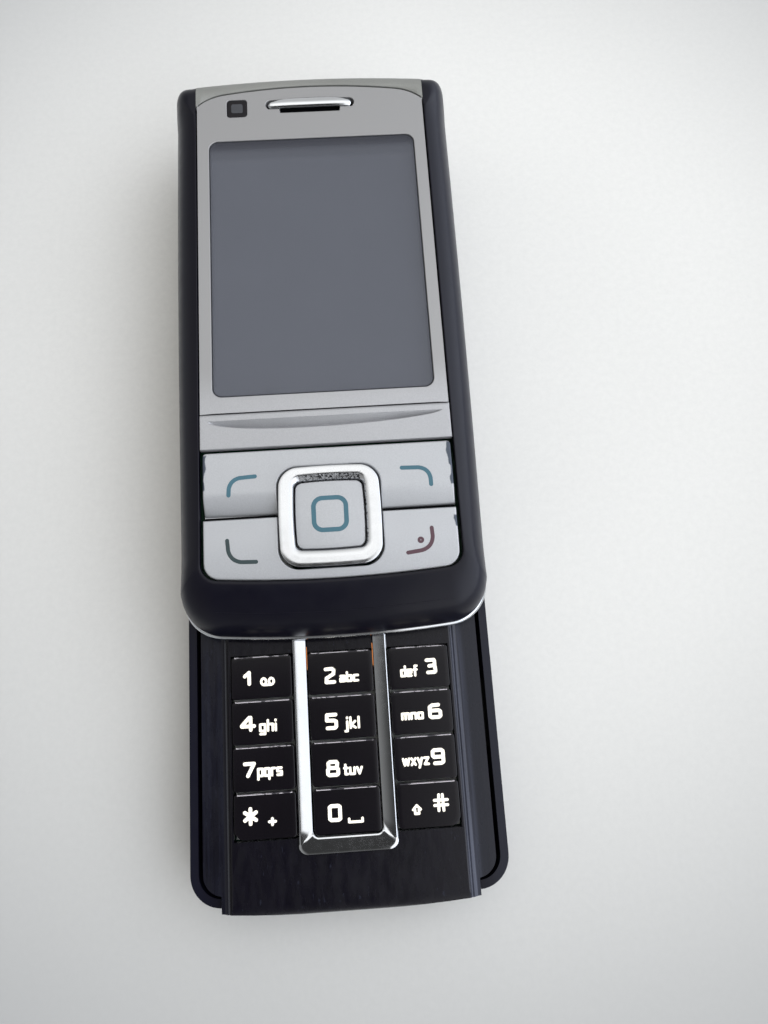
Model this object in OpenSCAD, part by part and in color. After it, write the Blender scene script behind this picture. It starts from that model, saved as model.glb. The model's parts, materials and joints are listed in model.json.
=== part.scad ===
// Slider phone, shown slid open. Lying on its back: +X right, +Y to the earpiece, +Z out of the screen.
// The origin is the middle of the battery cover's resting face, below the middle of the lower half.

/* [Lower half] */
// Width over the side walls
body_w = 46; // [45:0.5:48]
// Length over both rounded noses
body_l = 100; // [98:0.5:104]
// How far each nose stands past the rim
nose_out = 1.7; // [1.2:0.1:2.4]
// Width of each nose
nose_w = 37; // [36:0.5:38]
// Radius of each nose's shallow end arc
nose_arc_r = 170; // [120:10:260]
// Plan radius of the rim's corners
corner_r = 4.6; // [4:0.1:6]
// Rounding of the back's long and short edges
back_r = 5; // [4:0.25:6]
// Height of the rim's top edge
rim_z = 9.4; // [9:0.1:9.8]
// Height of the keypad deck
deck_z = 10.6; // [10.4:0.1:11.4]
// Thickness of the keypad deck
deck_t = 1.4; // [1.2:0.1:1.5]
// How far the side shelves lie below the deck
shelf_drop = 0.8; // [0.6:0.1:1]
// Wall of the rear housing
wall = 1.2; // [1:0.1:1.5]
// Black shadow gap between the rim and the keypad cover at both ends
shadow_gap = 0.4; // [0.2:0.05:0.5]
// Thickness of the side shelves, which hide the guide rails
shelf_t = 0.7; // [0.6:0.05:0.8]

/* [Upper half] */
// Length of the sliding half
slide_l = 96.5; // [94:0.5:98]
// How far the upper half slides open
slide_travel = 36.75; // [34:0.25:38]
// Thickness of the upper half, from its underside to its face
slide_h = 9; // [8.6:0.1:10]
// Radius of the long top edges
edge_r = 5; // [4:0.25:5.5]
// Fall of the chin towards the keypad
chin_r = 7; // [6:0.2:8]
// Fall of the top end
crown_r = 5.6; // [4:0.2:6]
// Plan radius of the chin's corners
chin_corner_r = 6; // [5:0.5:8]
// Plan radius of the top corners
top_corner_r = 3.8; // [3:0.2:5]
// Radius of the chin's shallow arc
chin_arc_r = 190; // [150:10:300]
// Radius of the top end's shallow arc
top_arc_r = 280; // [200:10:400]
// Wall of the front frame
frame_wall = 1.5; // [1.2:0.1:1.8]
// Height of the chrome line under the chin
trim_h = 0.9; // [0.6:0.1:1.2]
// How far the chrome line stands out past the chin
ledge = 0.7; // [0.3:0.1:1]
// Gap between the raised keypad and the sliding half
slide_gap = 0.3; // [0.25:0.05:0.5]

/* [Display and face] */
// Width of the visible display
window_w = 33.6; // [32:0.2:34]
// Height of the visible display
window_l = 44.7; // [40:0.5:46]
// From the top end of the upper half to the display
window_from_top = 15.6; // [15:0.2:17]
// Corner radius of the display opening
window_r = 1.2; // [0.6:0.1:2]
// Width of the silver face between the dark rails
face_w = 37.6; // [37:0.2:38]
// Thickness of the silver face plates
face_t = 1; // [0.8:0.1:1.2]
// From the top end to the arc where the silver cap begins
cap_depth = 5.4; // [5:0.1:6]
// Radius of that arc
cap_arc_r = 100; // [90:10:160]
// From the display to the seam under it
seam_below_window = 2.7; // [2:0.1:3.5]
// Height of the thumb strip
strip_l = 5.6; // [5:0.1:6.5]
// Depth of the thumb strip's groove
groove_depth = 0.45; // [0.3:0.05:0.5]
// Length of the chrome bar over the earpiece
ear_bar_l = 13.6; // [12:0.2:15]
// Side of the square front camera window
eye_w = 3.2; // [2.8:0.1:3.6]
// Distance of the front camera from the centre line
eye_x = 12.1; // [11:0.1:13]

/* [Function keys] */
// Width of the silver function key field
field_w = 36.8; // [36:0.1:37]
// Height of the softkey bar
soft_l = 9.9; // [9:0.1:10.5]
// Height of the call key bar
call_l = 9.35; // [9:0.05:10]
// Outside width and height of the chrome ring
ring_w = 15; // [14:0.2:16]
// Width of the ring's band
ring_band = 2.3; // [2:0.1:2.6]
// Plan radius of the ring's corners
ring_r = 3.4; // [2.8:0.1:4]
// How far the ring stands above the keys
ring_proud = 0.4; // [0.2:0.05:0.6]
// Thickness of the function keys
func_t = 1.9; // [1.7:0.1:2.1]
// Gap round every function key
func_gap = 0.3; // [0.2:0.05:0.35]

/* [Number keys] */
// Distance from one row of number keys to the next
key_pitch = 6.54; // [6.2:0.05:6.7]
// Width of a key in the middle column
mid_key_w = 9.7; // [9:0.1:10]
// Width of a key in a side column
side_key_w = 9; // [8.4:0.1:9.1]
// Width of each leg of the chrome keypad frame
leg_w = 2.2; // [1.8:0.1:2.4]
// Gap round every number key
key_gap = 0.15; // [0.1:0.01:0.2]
// How far the keys stand above the deck
key_proud = 0.4; // [0.3:0.05:0.5]
// Thickness of a number key
key_t = 1.7; // [1.5:0.05:1.8]
// Travel of a number key
key_press = 0.3; // [0.2:0.05:0.35]
// From the lower nose to the bottom row of keys
keypad_end = 10.6; // [10:0.2:12]

/* [Slide mechanism] */
// Width of each guide rail
rail_w = 2.1; // [1.8:0.1:2.2]
// Thickness of the rail and carriage steel
steel_t = 0.5; // [0.4:0.05:0.6]
// Length of the sliding carriage
carriage_l = 42; // [38:1:42]
// Running clearance between the runners and the rails
run_gap = 0.1; // [0.05:0.01:0.15]
// Width of the flat cable between the halves
flex_w = 8; // [6:0.5:10]

/* [Inside] */
// Thickness of the battery cover
cover_t = 1.3; // [1.1:0.1:1.5]
// Room between the battery and each side of the body
battery_side = 6; // [6:0.25:7]
// Battery length
battery_l = 50; // [46:1:50]
// Battery thickness
battery_t = 4; // [3.6:0.1:4]
// Thickness of the circuit boards
board_t = 0.8; // [0.6:0.1:1]
// Height of the main board's underside
board_z = 6.5; // [6.5:0.05:6.6]
// General clearance between parts that stay still
fit = 0.1; // [0.05:0.01:0.15]
// Radius of the charger's socket
jack_r = 1.05; // [1:0.05:1.2]
// Length of the volume key
volume_l = 15; // [12:0.5:17]
// Length of the camera key
shutter_l = 10; // [8:0.5:11]
// Length of the card flap
flap_l = 18; // [16:0.5:20]

/* [Hidden] */
$fn = 64;
NUMBER_KEYS = ["key_1", "key_2", "key_3", "key_4", "key_5", "key_6",
               "key_7", "key_8", "key_9", "key_star", "key_0", "key_hash"];
over = 1; // how far a cutter runs past the face it opens

// Colours of the real finishes
PLUM = [0.10, 0.10, 0.13];
SILVER = [0.72, 0.72, 0.74];
CHROME = [0.88, 0.89, 0.91];
BLACK = [0.05, 0.05, 0.06];
STEEL = [0.62, 0.63, 0.66];
DARK_STEEL = [0.12, 0.12, 0.14];
BOARD_GREEN = [0.10, 0.32, 0.20];
RUBBER = [0.75, 0.76, 0.74];
GOLD = [0.80, 0.66, 0.32];

// Heights in the lower half, from the back up
rim_l = body_l - 2 * nose_out;
floor_z = cover_t + fit;                  // the housing's floor, over the battery cover
floor_t = 1;
bay_roof_z = floor_z + battery_t + fit;   // underside of the sheet over the battery
board_top = board_z + board_t;
dome_h = 0.35;
mat_t = 0.6;
deck_under = deck_z - deck_t;
key_top = deck_z + key_proud;
key_under = key_top - key_t;
mat_top = key_under - key_press - fit;
mat_under = mat_top - mat_t;
leg_proud = 0.1;                          // the chrome frame stands this far above the keys
frame_seat = deck_under + 0.6;            // the chrome frame stands on ribs this high
shelf_z = deck_z - shelf_drop;
nose_seam = 5.4;                          // the keypad cover's nose starts here
nose_r = 2.2;                             // rounding of each nose's top edge

// Widths across the lower half
deck_w = body_w - 12.5;                   // the raised deck
inside_x = body_w / 2 - wall;             // inner face of the housing's side walls
web_x = inside_x - run_gap - steel_t;     // inner face of the carriage's side web
cover_half_w = web_x - run_gap;           // the web runs in the gap between cover and rim
rail_x = cover_half_w - rail_w;           // inner face of a guide rail
pocket_x = rail_x - fit - 0.8;            // inner wall of the pocket that holds a rail

// Heights of the slide mechanism
rail_top = shelf_z - shelf_t - fit / 2;
rail_foot = rail_top - 2.1;
pocket_floor = rail_foot - fit;
cover_under = pocket_floor - 0.6;         // lowest edge of the keypad cover's sides
groove_low = rail_foot + steel_t;
groove_high = rail_top - steel_t;
lip_z = (groove_low + groove_high) / 2;   // middle of the carriage's lip
rail_end = body_l / 2 - 6.5;

// Heights in the upper half
slide_z = key_top + leg_proud + slide_gap;  // underside of the upper half
face_z = slide_z + slide_h;               // the silver face
back_t = 1.2;                             // thickness of the slide's back plate
back_top = slide_z + back_t;
skirt_z = shelf_z + 0.4;                  // lower edge of the frame's side skirts
trim_z = slide_z + 0.5;                   // lower edge of the chrome line
slide_board_z = back_top + 2.6;
slide_board_top = slide_board_z + board_t;
half_l = slide_l / 2;

// Places along the upper half, from its own middle
cap_y = half_l - cap_depth;
face_half = face_w / 2;
cap_half = face_half + 0.5;               // the silver cap is a little wider than the face
cap_round = 2.2;                          // where the cap's arc turns down beside the rails
cap_side_y = cap_y - cap_arc_r + sqrt(pow(cap_arc_r - cap_round, 2) - pow(cap_half - cap_round, 2));
window_top = half_l - window_from_top;
window_y = window_top - window_l / 2;
seam_y = window_top - window_l - seam_below_window;
strip_y = seam_y - strip_l;               // lower end of the thumb strip
soft_y = strip_y - func_gap - soft_l;     // lower edge of the softkey bar
call_y = soft_y - func_gap - call_l;      // lower edge of the call key bar
ring_y = soft_y - func_gap / 2;           // the ring's centre is on the gap between the bars
field_end = call_y - func_gap;            // where the chin begins
ear_y = cap_y - 3.3;
eye_y = ear_y - 0.6;
func_under = face_z - func_t;

// Places along the lower half
keypad_y = keypad_end - body_l / 2;       // lower edge of the bottom row
keypad_top = keypad_y + 4 * key_pitch;
cover_top_y = 18;                         // upper edge of the battery cover
battery_y = cover_top_y - 2.4 - battery_l / 2;
carriage_y = rail_end - 0.3 - slide_travel - carriage_l; // lower end of the carriage, from the slide's middle
side_key_z = 4.7;                         // middle height of the side keys
volume_y = 17;
shutter_y = -24;
flap_y = -27;
camera_y = body_l / 2 - 15;

// ---------- shapes that repeat ----------

module rounded_rect(w, l, r) {
    if (w > 2 * r) square([w - 2 * r, l], center = true);
    if (l > 2 * r) square([w, l - 2 * r], center = true);
    for (sx = [-1, 1], sy = [-1, 1])
        translate([sx * (w / 2 - r), sy * (l / 2 - r)]) circle(r);
}

module slab(w, l, r, z0, z1) {
    translate([0, 0, z0]) linear_extrude(z1 - z0) rounded_rect(w, l, r);
}

module block(x0, x1, y0, y1, z0, z1) {
    translate([x0, y0, z0]) cube([x1 - x0, y1 - y0, z1 - z0]);
}

module both_sides() {
    children();
    mirror([1, 0, 0]) children();
}

// Extrudes a profile drawn in X and Z along the phone's length
module along_y(y0, y1) {
    translate([0, y1, 0]) rotate([90, 0, 0]) linear_extrude(y1 - y0) children();
}

// Extrudes a profile drawn in Y and Z across the phone's width
module along_x(x0, x1) {
    translate([x0, 0, 0]) rotate([90, 0, 90]) linear_extrude(x1 - x0) children();
}

// Half profile of a tray: flat bottom at z0 with round corners, straight sides to z1
module tray_profile(w, r, z0, z1) {
    translate([-w / 2, z0 + r]) square([w, z1 - z0 - r]);
    translate([r - w / 2, z0]) square([w - 2 * r, r + 0.01]);
    for (s = [-1, 1]) translate([s * (w / 2 - r), z0 + r]) circle(r);
}

// ---------- outer form of the lower half ----------

module nose_plan(w, inset) {
    intersection() {
        square([w - 2 * inset, body_l - 2 * inset], center = true);
        translate([0, nose_arc_r - body_l / 2]) circle(nose_arc_r - inset, $fn = 256);
        translate([0, body_l / 2 - nose_arc_r]) circle(nose_arc_r - inset, $fn = 256);
    }
}

module base_form(inset, top) {
    intersection() {
        linear_extrude(top) union() {
            rounded_rect(body_w - 2 * inset, rim_l - 2 * inset, corner_r - inset);
            nose_plan(nose_w, inset);
        }
        along_y(-body_l / 2, body_l / 2) tray_profile(body_w - 2 * inset, back_r - inset, inset, top);
        along_x(-body_w / 2, body_w / 2) tray_profile(body_l - 2 * inset, back_r - inset, inset, top);
    }
}

// ---------- outer form of the upper half ----------

// Outline of the upper half. The chin ends "back" short of the chrome line
module slide_plan(inset, back = ledge) {
    side = body_w / 2 - inset;
    chin = back - half_l;
    intersection() {
        union() {
            translate([-side, chin_corner_r + chin])
                square([2 * side, half_l - chin - chin_corner_r - top_corner_r]);
            translate([chin_corner_r - body_w / 2, chin + inset])
                square([body_w - 2 * chin_corner_r, half_l - chin - 2 * inset]);
            translate([top_corner_r - body_w / 2, 0])
                square([body_w - 2 * top_corner_r, half_l - inset]);
            for (s = [-1, 1]) {
                translate([s * (body_w / 2 - chin_corner_r), chin_corner_r + chin])
                    circle(chin_corner_r - inset);
                translate([s * (body_w / 2 - top_corner_r), half_l - top_corner_r])
                    circle(top_corner_r - inset);
            }
        }
        translate([0, chin + chin_arc_r]) circle(chin_arc_r - inset, $fn = 256);
        translate([0, half_l - top_arc_r]) circle(top_arc_r - inset, $fn = 256);
    }
}

module slide_section(inset, low) {
    w = body_w - 2 * inset;
    r = edge_r - inset;
    translate([-w / 2, low]) square([w, face_z - edge_r - low]);
    translate([edge_r - body_w / 2, low]) square([body_w - 2 * edge_r, face_z - inset - low]);
    for (s = [-1, 1]) translate([s * (body_w / 2 - edge_r), face_z - edge_r]) circle(r);
}

module slide_profile(inset, low) {
    chin = ledge - half_l;
    translate([chin + inset, low]) square([half_l - chin - 2 * inset, face_z - chin_r - low]);
    translate([chin + chin_r, low]) square([half_l - chin - chin_r - crown_r, face_z - inset - low]);
    translate([chin + chin_r, low]) square([half_l - chin - chin_r - inset, face_z - crown_r - low]);
    translate([chin + chin_r, face_z - chin_r]) circle(chin_r - inset);
    translate([half_l - crown_r, face_z - crown_r]) circle(crown_r - inset);
}

module slide_form(inset, low) {
    intersection() {
        translate([0, 0, low]) linear_extrude(face_z + over - low) slide_plan(inset);
        along_y(-half_l, half_l) slide_section(inset, low);
        along_x(-body_w / 2, body_w / 2) slide_profile(inset, low);
    }
}

// The silver cap's lower edge: a shallow arc across the face with round corners, moved by "grow" towards the chin
module above_cap_arc(grow) {
    difference() {
        translate([-body_w / 2, cap_side_y - 1]) square([body_w, half_l - cap_side_y + 1 + over]);
        translate([0, -grow]) intersection() {
            translate([0, cap_y - cap_arc_r]) circle(cap_arc_r, $fn = 256);
            union() {
                translate([cap_round - cap_half, 0]) square([2 * (cap_half - cap_round), half_l]);
                translate([-cap_half - over, 0]) square([2 * (cap_half + over), cap_side_y]);
                for (s = [-1, 1]) translate([s * (cap_half - cap_round), cap_side_y]) circle(cap_round);
            }
        }
    }
}

// The chin's edge round the function keys: a shallow arc with round corners
module face_opening(w, inset) {
    bottom = field_end + inset;
    r = 2.6;
    intersection() {
        union() {
            translate([-w / 2, bottom + r]) square([w, half_l + over - bottom - r]);
            translate([r - w / 2, bottom - over]) square([w - 2 * r, r + 2 * over]);
            for (s = [-1, 1]) translate([s * (w / 2 - r), bottom + r + 0.6]) circle(r);
        }
        translate([0, bottom + chin_arc_r]) circle(chin_arc_r, $fn = 256);
    }
}

// ---------- lower half ----------

screw_in_x = 6.6;                         // from the side wall to the screws
screw_in_y = 6.6;                         // from the ends of the body to the screws
screw_spots = [for (sx = [-1, 1], sy = [-1, 1])
    [sx * (body_w / 2 - screw_in_x), sy * (body_l / 2 - screw_in_y)]];
screw_head_r = 1.3;
screw_shank_r = 0.7;
screw_head_z = 3.2;

module at_screws() {
    for (p = screw_spots) translate([p[0], p[1], 0]) children();
}

module bay(extra, z0, z1) {
    translate([0, battery_y, 0])
        slab(battery_w + 2 * fit + 2 * extra, battery_l + 2 * fit + 2 * extra, 1, z0, z1);
}

module rear_housing() color(PLUM) difference() {
    union() {
        difference() {
            base_form(0, rim_z);
            base_form(wall, rim_z + over);
        }
        intersection() {
            base_form(fit, rim_z);
            union() {
                block(-body_w / 2, body_w / 2, -body_l / 2, cover_top_y + wall, floor_z, floor_z + floor_t);
                bay(wall - 0.3, floor_z, board_z - fit);
                at_screws() cylinder(h = board_z - fit, r = screw_head_r + 0.9);
            }
        }
        // wall between the battery cover and the camera bay
        block(-battery_cover_w / 2, battery_cover_w / 2, cover_top_y + fit, cover_top_y + fit + wall,
              fit, board_z - fit);
    }
    bay(0, -over, bay_roof_z);
    // recess for the battery cover, open at the lower end
    block(-battery_cover_w / 2 - fit, battery_cover_w / 2 + fit, -body_l / 2 - over, cover_top_y + fit,
          -over, floor_z);
    // the keypad cover's noses close these two gaps
    for (s = [-1, 1]) translate([0, s * (body_l / 2), 0])
        block(-nose_w / 2 - fit, nose_w / 2 + fit, -nose_block - fit, nose_block + fit, nose_seam - fit, rim_z + over);
    at_screws() {
        translate([0, 0, -over]) cylinder(h = screw_head_z + over, r = screw_head_r + fit);
        cylinder(h = rim_z, r = screw_shank_r + fit);
    }
    side_openings();
    end_openings();
    back_openings();
    // window to the SIM in the sheet over the battery
    translate([sim_x, sim_y, 0]) block(-sim_l / 2 - fit, sim_l / 2 + fit, -sim_w / 2 - fit, sim_w / 2 + fit,
                                       bay_roof_z - over, board_z + over);
}

nose_block = 3.3;                         // length of the keypad cover's solid noses
battery_cover_w = body_w - 6;
side_key_h = 2.6;

module side_openings() {
    for (k = [[volume_y, volume_l], [shutter_y, shutter_l]])
        translate([body_w / 2 - wall, k[0], side_key_z])
            cube([4 * wall, k[1] + 2 * key_gap, side_key_h + 2 * key_gap], center = true);
    translate([-body_w / 2, flap_y, side_key_z])
        cube([4 * wall, flap_l + 2 * key_gap, side_key_h + 2 * key_gap], center = true);
}

battery_w = body_w - 2 * battery_side;
jack_x = body_w / 2 - 11.5;
port_x = jack_x - 14.5;
end_z = 3.9;                              // middle height of the sockets in the lower end
port_w = 14.6;
port_h = 2.4;
jack_body_r = 1.45;

module end_openings() {
    translate([jack_x, -body_l / 2 - over, end_z]) rotate([-90, 0, 0])
        cylinder(h = 4 * over + 1, r = jack_body_r + fit);
    translate([port_x, -body_l / 2, end_z])
        cube([port_w + 2 * fit, 8 * over, port_h + 2 * fit], center = true);
}

panel_w = 25;
panel_l = 13;
panel_t = 0.9;
speaker_x = 8.2 - body_w / 2;
speaker_y = 26.5;
latch_w = 10;
latch_l = 3.4;
latch_y = cover_top_y + fit + wall + 1 + latch_l / 2;

module back_openings() {
    translate([0, camera_y, 0]) slab(panel_w + 2 * fit, panel_l + 2 * fit, 3 + fit, -over, panel_t + 2 * fit);
    translate([0, camera_y, 0]) slab(panel_w - 2, panel_l - 2, 2, -over, floor_z + over);
    translate([0, latch_y, 0]) slab(latch_w + 2 * key_gap, latch_l + 2 * key_gap, latch_l / 2 + key_gap, -over, floor_z + over);
    for (i = [-1:1]) translate([speaker_x, speaker_y + 1.8 * i, 0])
        slab(6, 0.8, 0.4, -over, floor_z + over);
}

// Right half of the keypad cover's top: deck, step, soft ridge and side shelf
cover_top_points = [
    [deck_w / 2, deck_z], [deck_w / 2 + 0.2, deck_z - 0.12], [deck_w / 2 + 0.35, deck_z - 0.5], [deck_w / 2 + 0.55, shelf_z + 0.18],
    [deck_w / 2 + 0.75, shelf_z + 0.24], [deck_w / 2 + 1, shelf_z + 0.16], [deck_w / 2 + 1.25, shelf_z], [cover_half_w, shelf_z]];

function both_halves(points) = concat(points, [for (i = [len(points) - 1:-1:0]) [-points[i][0], points[i][1]]]);

// Cross-section of the keypad cover: deck and shelves, with an open pocket under each shelf for the rail
module cover_section() {
    polygon(both_halves(concat(cover_top_points, [
        [cover_half_w, shelf_z - shelf_t], [rail_x - fit, shelf_z - shelf_t], [rail_x - fit, pocket_floor],
        [cover_half_w, pocket_floor], [cover_half_w, cover_under], [pocket_x, cover_under],
        [pocket_x, shelf_z - shelf_t], [deck_w / 2 - 0.8, shelf_z - shelf_t], [deck_w / 2 - 0.8, deck_under]])));
}

// Side view of the keypad cover, with both top edges rounded over
module cover_profile() {
    translate([-body_l / 2, 0]) square([body_l, deck_z - nose_r]);
    translate([nose_r - body_l / 2, 0]) square([body_l - 2 * nose_r, deck_z]);
    for (s = [-1, 1]) translate([s * (body_l / 2 - nose_r), deck_z - nose_r]) circle(nose_r);
}

module column_opening(x, w) {
    block(x - w / 2 - key_gap, x + w / 2 + key_gap, keypad_y - key_gap, keypad_top, 0, deck_z + over);
}

side_col_x = mid_key_w / 2 + 2 * key_gap + leg_w + side_key_w / 2;
leg_in = mid_key_w / 2 + key_gap;
leg_out = leg_in + leg_w;
leg_top_y = keypad_top + 3.6;             // the legs run on under the sliding half

module keypad_frame_plan(grow) {
    difference() {
        translate([0, (leg_top_y + keypad_y - key_gap - leg_w) / 2])
            rounded_rect(2 * leg_out + 2 * grow, leg_top_y - keypad_y + key_gap + leg_w + 2 * grow, 1.4);
        translate([0, (leg_top_y + keypad_y - key_gap) / 2 + 1])
            rounded_rect(2 * leg_in - 2 * grow, leg_top_y - keypad_y + key_gap + 2, 0.8);
    }
}

module keypad_cover() color(PLUM) difference() {
    union() {
        intersection() {
            linear_extrude(deck_z + over) union() {
                rounded_rect(2 * cover_half_w, rim_l - 2 * wall - 2 * shadow_gap,
                             corner_r - wall - shadow_gap);
                nose_plan(nose_w, 0);
            }
            along_y(-body_l / 2, body_l / 2) cover_section();
            along_x(-body_w / 2, body_w / 2) cover_profile();
        }
        intersection() {
            linear_extrude(deck_z + over) nose_plan(nose_w, 0);
            along_x(-body_w / 2, body_w / 2) cover_profile();
            along_y(-body_l / 2, body_l / 2) polygon(both_halves(concat(cover_top_points, [[cover_half_w, 0]])));
            for (s = [-1, 1]) translate([0, s * (body_l / 2), 0])
                block(-nose_w / 2, nose_w / 2, -nose_block, nose_block, nose_seam, deck_z);
        }
        at_screws() translate([0, 0, board_top + fit]) cylinder(h = deck_under + 0.1 - board_top - fit, r = 1.6);
    }
    for (s = [-1, 0, 1]) column_opening(s * side_col_x, s == 0 ? mid_key_w : side_key_w);
    translate([0, 0, frame_seat]) linear_extrude(deck_z) keypad_frame_plan(fit);
    // the flat cable comes up here and lies in a shallow bed
    block(-flex_w / 2 - 0.5, flex_w / 2 + 0.5, flex_base_y - 1, flex_base_y + 1.2, 0, deck_z + over);
    block(-flex_w / 2 - 0.5, flex_w / 2 + 0.5, flex_base_y - 1, flex_loop_y + 4, flex_bed, deck_z + over);
    at_screws() cylinder(h = deck_under + 0.2, r = screw_shank_r + fit);
}

module guide_rail() along_y(-rail_end, rail_end) polygon([
    [rail_x, rail_foot], [rail_x + rail_w, rail_foot], [rail_x + rail_w, groove_low],
    [rail_x + steel_t, groove_low], [rail_x + steel_t, groove_high], [rail_x + rail_w, groove_high],
    [rail_x + rail_w, rail_top], [rail_x, rail_top]]);

module guide_rails() color(DARK_STEEL) both_sides() guide_rail();

module keypad_frame() color(CHROME) {
    top = key_top + leg_proud;
    bevel = 0.35;
    difference() {
        translate([0, 0, frame_seat]) linear_extrude(top - frame_seat) keypad_frame_plan(0);
        // the legs' outer top edges are bevelled
        both_sides() along_y(keypad_y - leg_w - over, leg_top_y + over)
            polygon([[leg_out - bevel, top + 0.01], [leg_out + over, top + 0.01], [leg_out + over, top - 2 * bevel],
                     [leg_out, top - 2 * bevel]]);
    }
}

function key_col(i) = i % 3 - 1;
function key_row(i) = floor(i / 3);
function key_x(i) = key_col(i) * side_col_x;
function key_y(i) = keypad_top - (key_row(i) + 0.5) * key_pitch;
function key_w(i) = key_col(i) == 0 ? mid_key_w : side_key_w;

// Keycap with a slightly crowned top, on a short stem
module number_key(i) color(BLACK) {
    l = key_pitch - 2 * key_gap;
    crown_r = 60;
    translate([key_x(i), key_y(i), 0]) intersection() {
        slab(key_w(i), l, 0.5, key_under, key_top + over);
        translate([0, l, key_top - crown_r]) rotate([90, 0, 0]) cylinder(h = 2 * l, r = crown_r, $fn = 256);
    }
}

module keypad_mat() color(RUBBER) {
    margin = 0.8;
    w = 2 * side_col_x + side_key_w;
    difference() {
        union() {
            block(-w / 2, w / 2, keypad_y, keypad_top - margin / 2, mat_under, mat_top);
            for (i = [0:11]) translate([key_x(i), key_y(i), board_top + dome_h + fit])
                cylinder(h = mat_under - board_top - dome_h - fit, r = 1.1);
        }
    }
}

// One snap dome: a shallow spherical cap standing on z = 0
module dome(r, h) {
    big = (r * r + h * h) / (2 * h);
    rotate_extrude() intersection() {
        translate([0, h - big]) circle(big, $fn = 256);
        square([r, h + over]);
    }
}

module keypad_domes() color(GOLD)
    for (i = [0:11]) translate([key_x(i), key_y(i), board_top]) dome(2.4, dome_h - fit / 2);

module main_board() color(BOARD_GREEN) {
    w = 2 * (pocket_x - fit);
    difference() {
        slab(w, body_l - 2 * nose_block - 1.2, 2, board_z, board_top);
        at_screws() translate([0, 0, board_z - over]) cylinder(h = 3 * over, r = screw_shank_r + 0.4);
        block(-flex_w / 2 - 0.5, flex_w / 2 + 0.5, flex_base_y + 0.8, flex_base_y + 2.4, board_z - over, board_top + over);
    }
}

card_w = 15;

// Memory card socket beside the battery bay, facing the flap in the left side
module card_socket() color(STEEL) difference() {
    x0 = 3 - body_w / 2;
    x1 = -battery_w / 2 - wall - fit;
    block(x0, x1, flap_y - card_w / 2, flap_y + card_w / 2, cover_under - 1.9 - fit, cover_under - fit);
    block(x0 - over, x1 - 0.4, flap_y - card_w / 2 + 0.4, flap_y + card_w / 2 - 0.4,
          cover_under - 1.6 - fit, cover_under - 0.4);
}

module battery() color([0.16, 0.17, 0.20]) difference() {
    translate([0, battery_y, 0]) slab(battery_w, battery_l, 1, floor_z, floor_z + battery_t);
    // three contact pads at the upper end
    for (i = [-1:1]) block(3 * i - 0.8, 3 * i + 0.8, battery_y + battery_l / 2 - 0.3, battery_y + battery_l / 2 + over,
                           floor_z + 1, floor_z + 3);
}

sim_l = 25;
sim_w = 15;
sim_x = 0;
sim_y = battery_y - battery_l / 2 + sim_w / 2 + 2;

module sim_card() color(GOLD) {
    z0 = bay_roof_z + fit / 2;
    translate([sim_x, sim_y, z0]) linear_extrude(board_z - fit - z0) difference() {
        square([sim_l, sim_w], center = true);
        translate([sim_l / 2, sim_w / 2]) rotate(45) square(4.2, center = true);
    }
}

module loudspeaker() color(BLACK) translate([speaker_x, speaker_y, 0]) {
    slab(8, 7.4, 2, wall + fit, wall + 2.2);
    slab(6.4, 5.8, 1.6, wall + 2.2, board_z - fit);
}

motor_x = body_w / 2 - 7.4;
motor_y = 27;
motor_z = wall + fit + 2.2;
motor_r = 2.1;
motor_l = 7;
weight_l = 3;

module vibra_motor() color(STEEL) translate([motor_x, motor_y, motor_z]) rotate([90, 0, 0]) {
    translate([0, 0, -motor_l / 2]) cylinder(h = motor_l, r = motor_r);
    translate([0, 0, motor_l / 2]) cylinder(h = weight_l + 0.9, r = 0.4);
}

// Half-round weight on the motor's shaft
module vibra_weight() color(GOLD) translate([motor_x, motor_y, motor_z]) rotate([90, 0, 0])
    translate([0, 0, motor_l / 2 + 0.3]) difference() {
        union() {
            intersection() {
                cylinder(h = weight_l, r = motor_r);
                block(-motor_r - over, motor_r + over, -motor_r - over, 0, -over, weight_l + over);
            }
            cylinder(h = weight_l, r = 0.9);
        }
        translate([0, 0, -over]) cylinder(h = weight_l + 2 * over, r = 0.45);
    }

lens_r = 2.6;

module rear_camera() color(BLACK) translate([0, camera_y, 0]) difference() {
    union() {
        translate([lens_x, 0, 0]) slab(8.6, 8.6, 0.8, 3.2, board_z - fit);
        translate([lens_x, 0, panel_t + 2 * fit + 0.4]) cylinder(h = 3.2 - panel_t - 2 * fit - 0.4, r = lens_r + 0.7);
    }
    translate([lens_x, 0, panel_t]) cylinder(h = 1.2, r1 = lens_r + 0.1, r2 = 1.2);
}

lens_x = 4;
flash_x = -6.5;

module camera_panel() color(BLACK) translate([0, camera_y, 0]) difference() {
    slab(panel_w, panel_l, 3, fit, panel_t + fit);
    translate([flash_x, 0, 0]) slab(3.6, 2.6, 0.8, -over, panel_t + over);
    translate([lens_x, 0, -over]) cylinder(h = over + fit + 0.35, r = lens_r);
}

jack_l = 7;

module charger_jack() color(BLACK) translate([jack_x, 0, end_z]) difference() {
    union() {
        translate([0, jack_mouth, 0]) rotate([-90, 0, 0]) cylinder(h = jack_l, r = jack_body_r);
        block(-2.2, 2.2, jack_mouth + 2.4, jack_mouth + jack_l, -jack_body_r, board_z - fit - end_z);
    }
    translate([0, jack_mouth - over, 0]) rotate([-90, 0, 0]) cylinder(h = jack_l - 1 + over, r = jack_r);
}

jack_mouth = 1 - body_l / 2;              // the socket's face lies just inside the end wall

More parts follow.
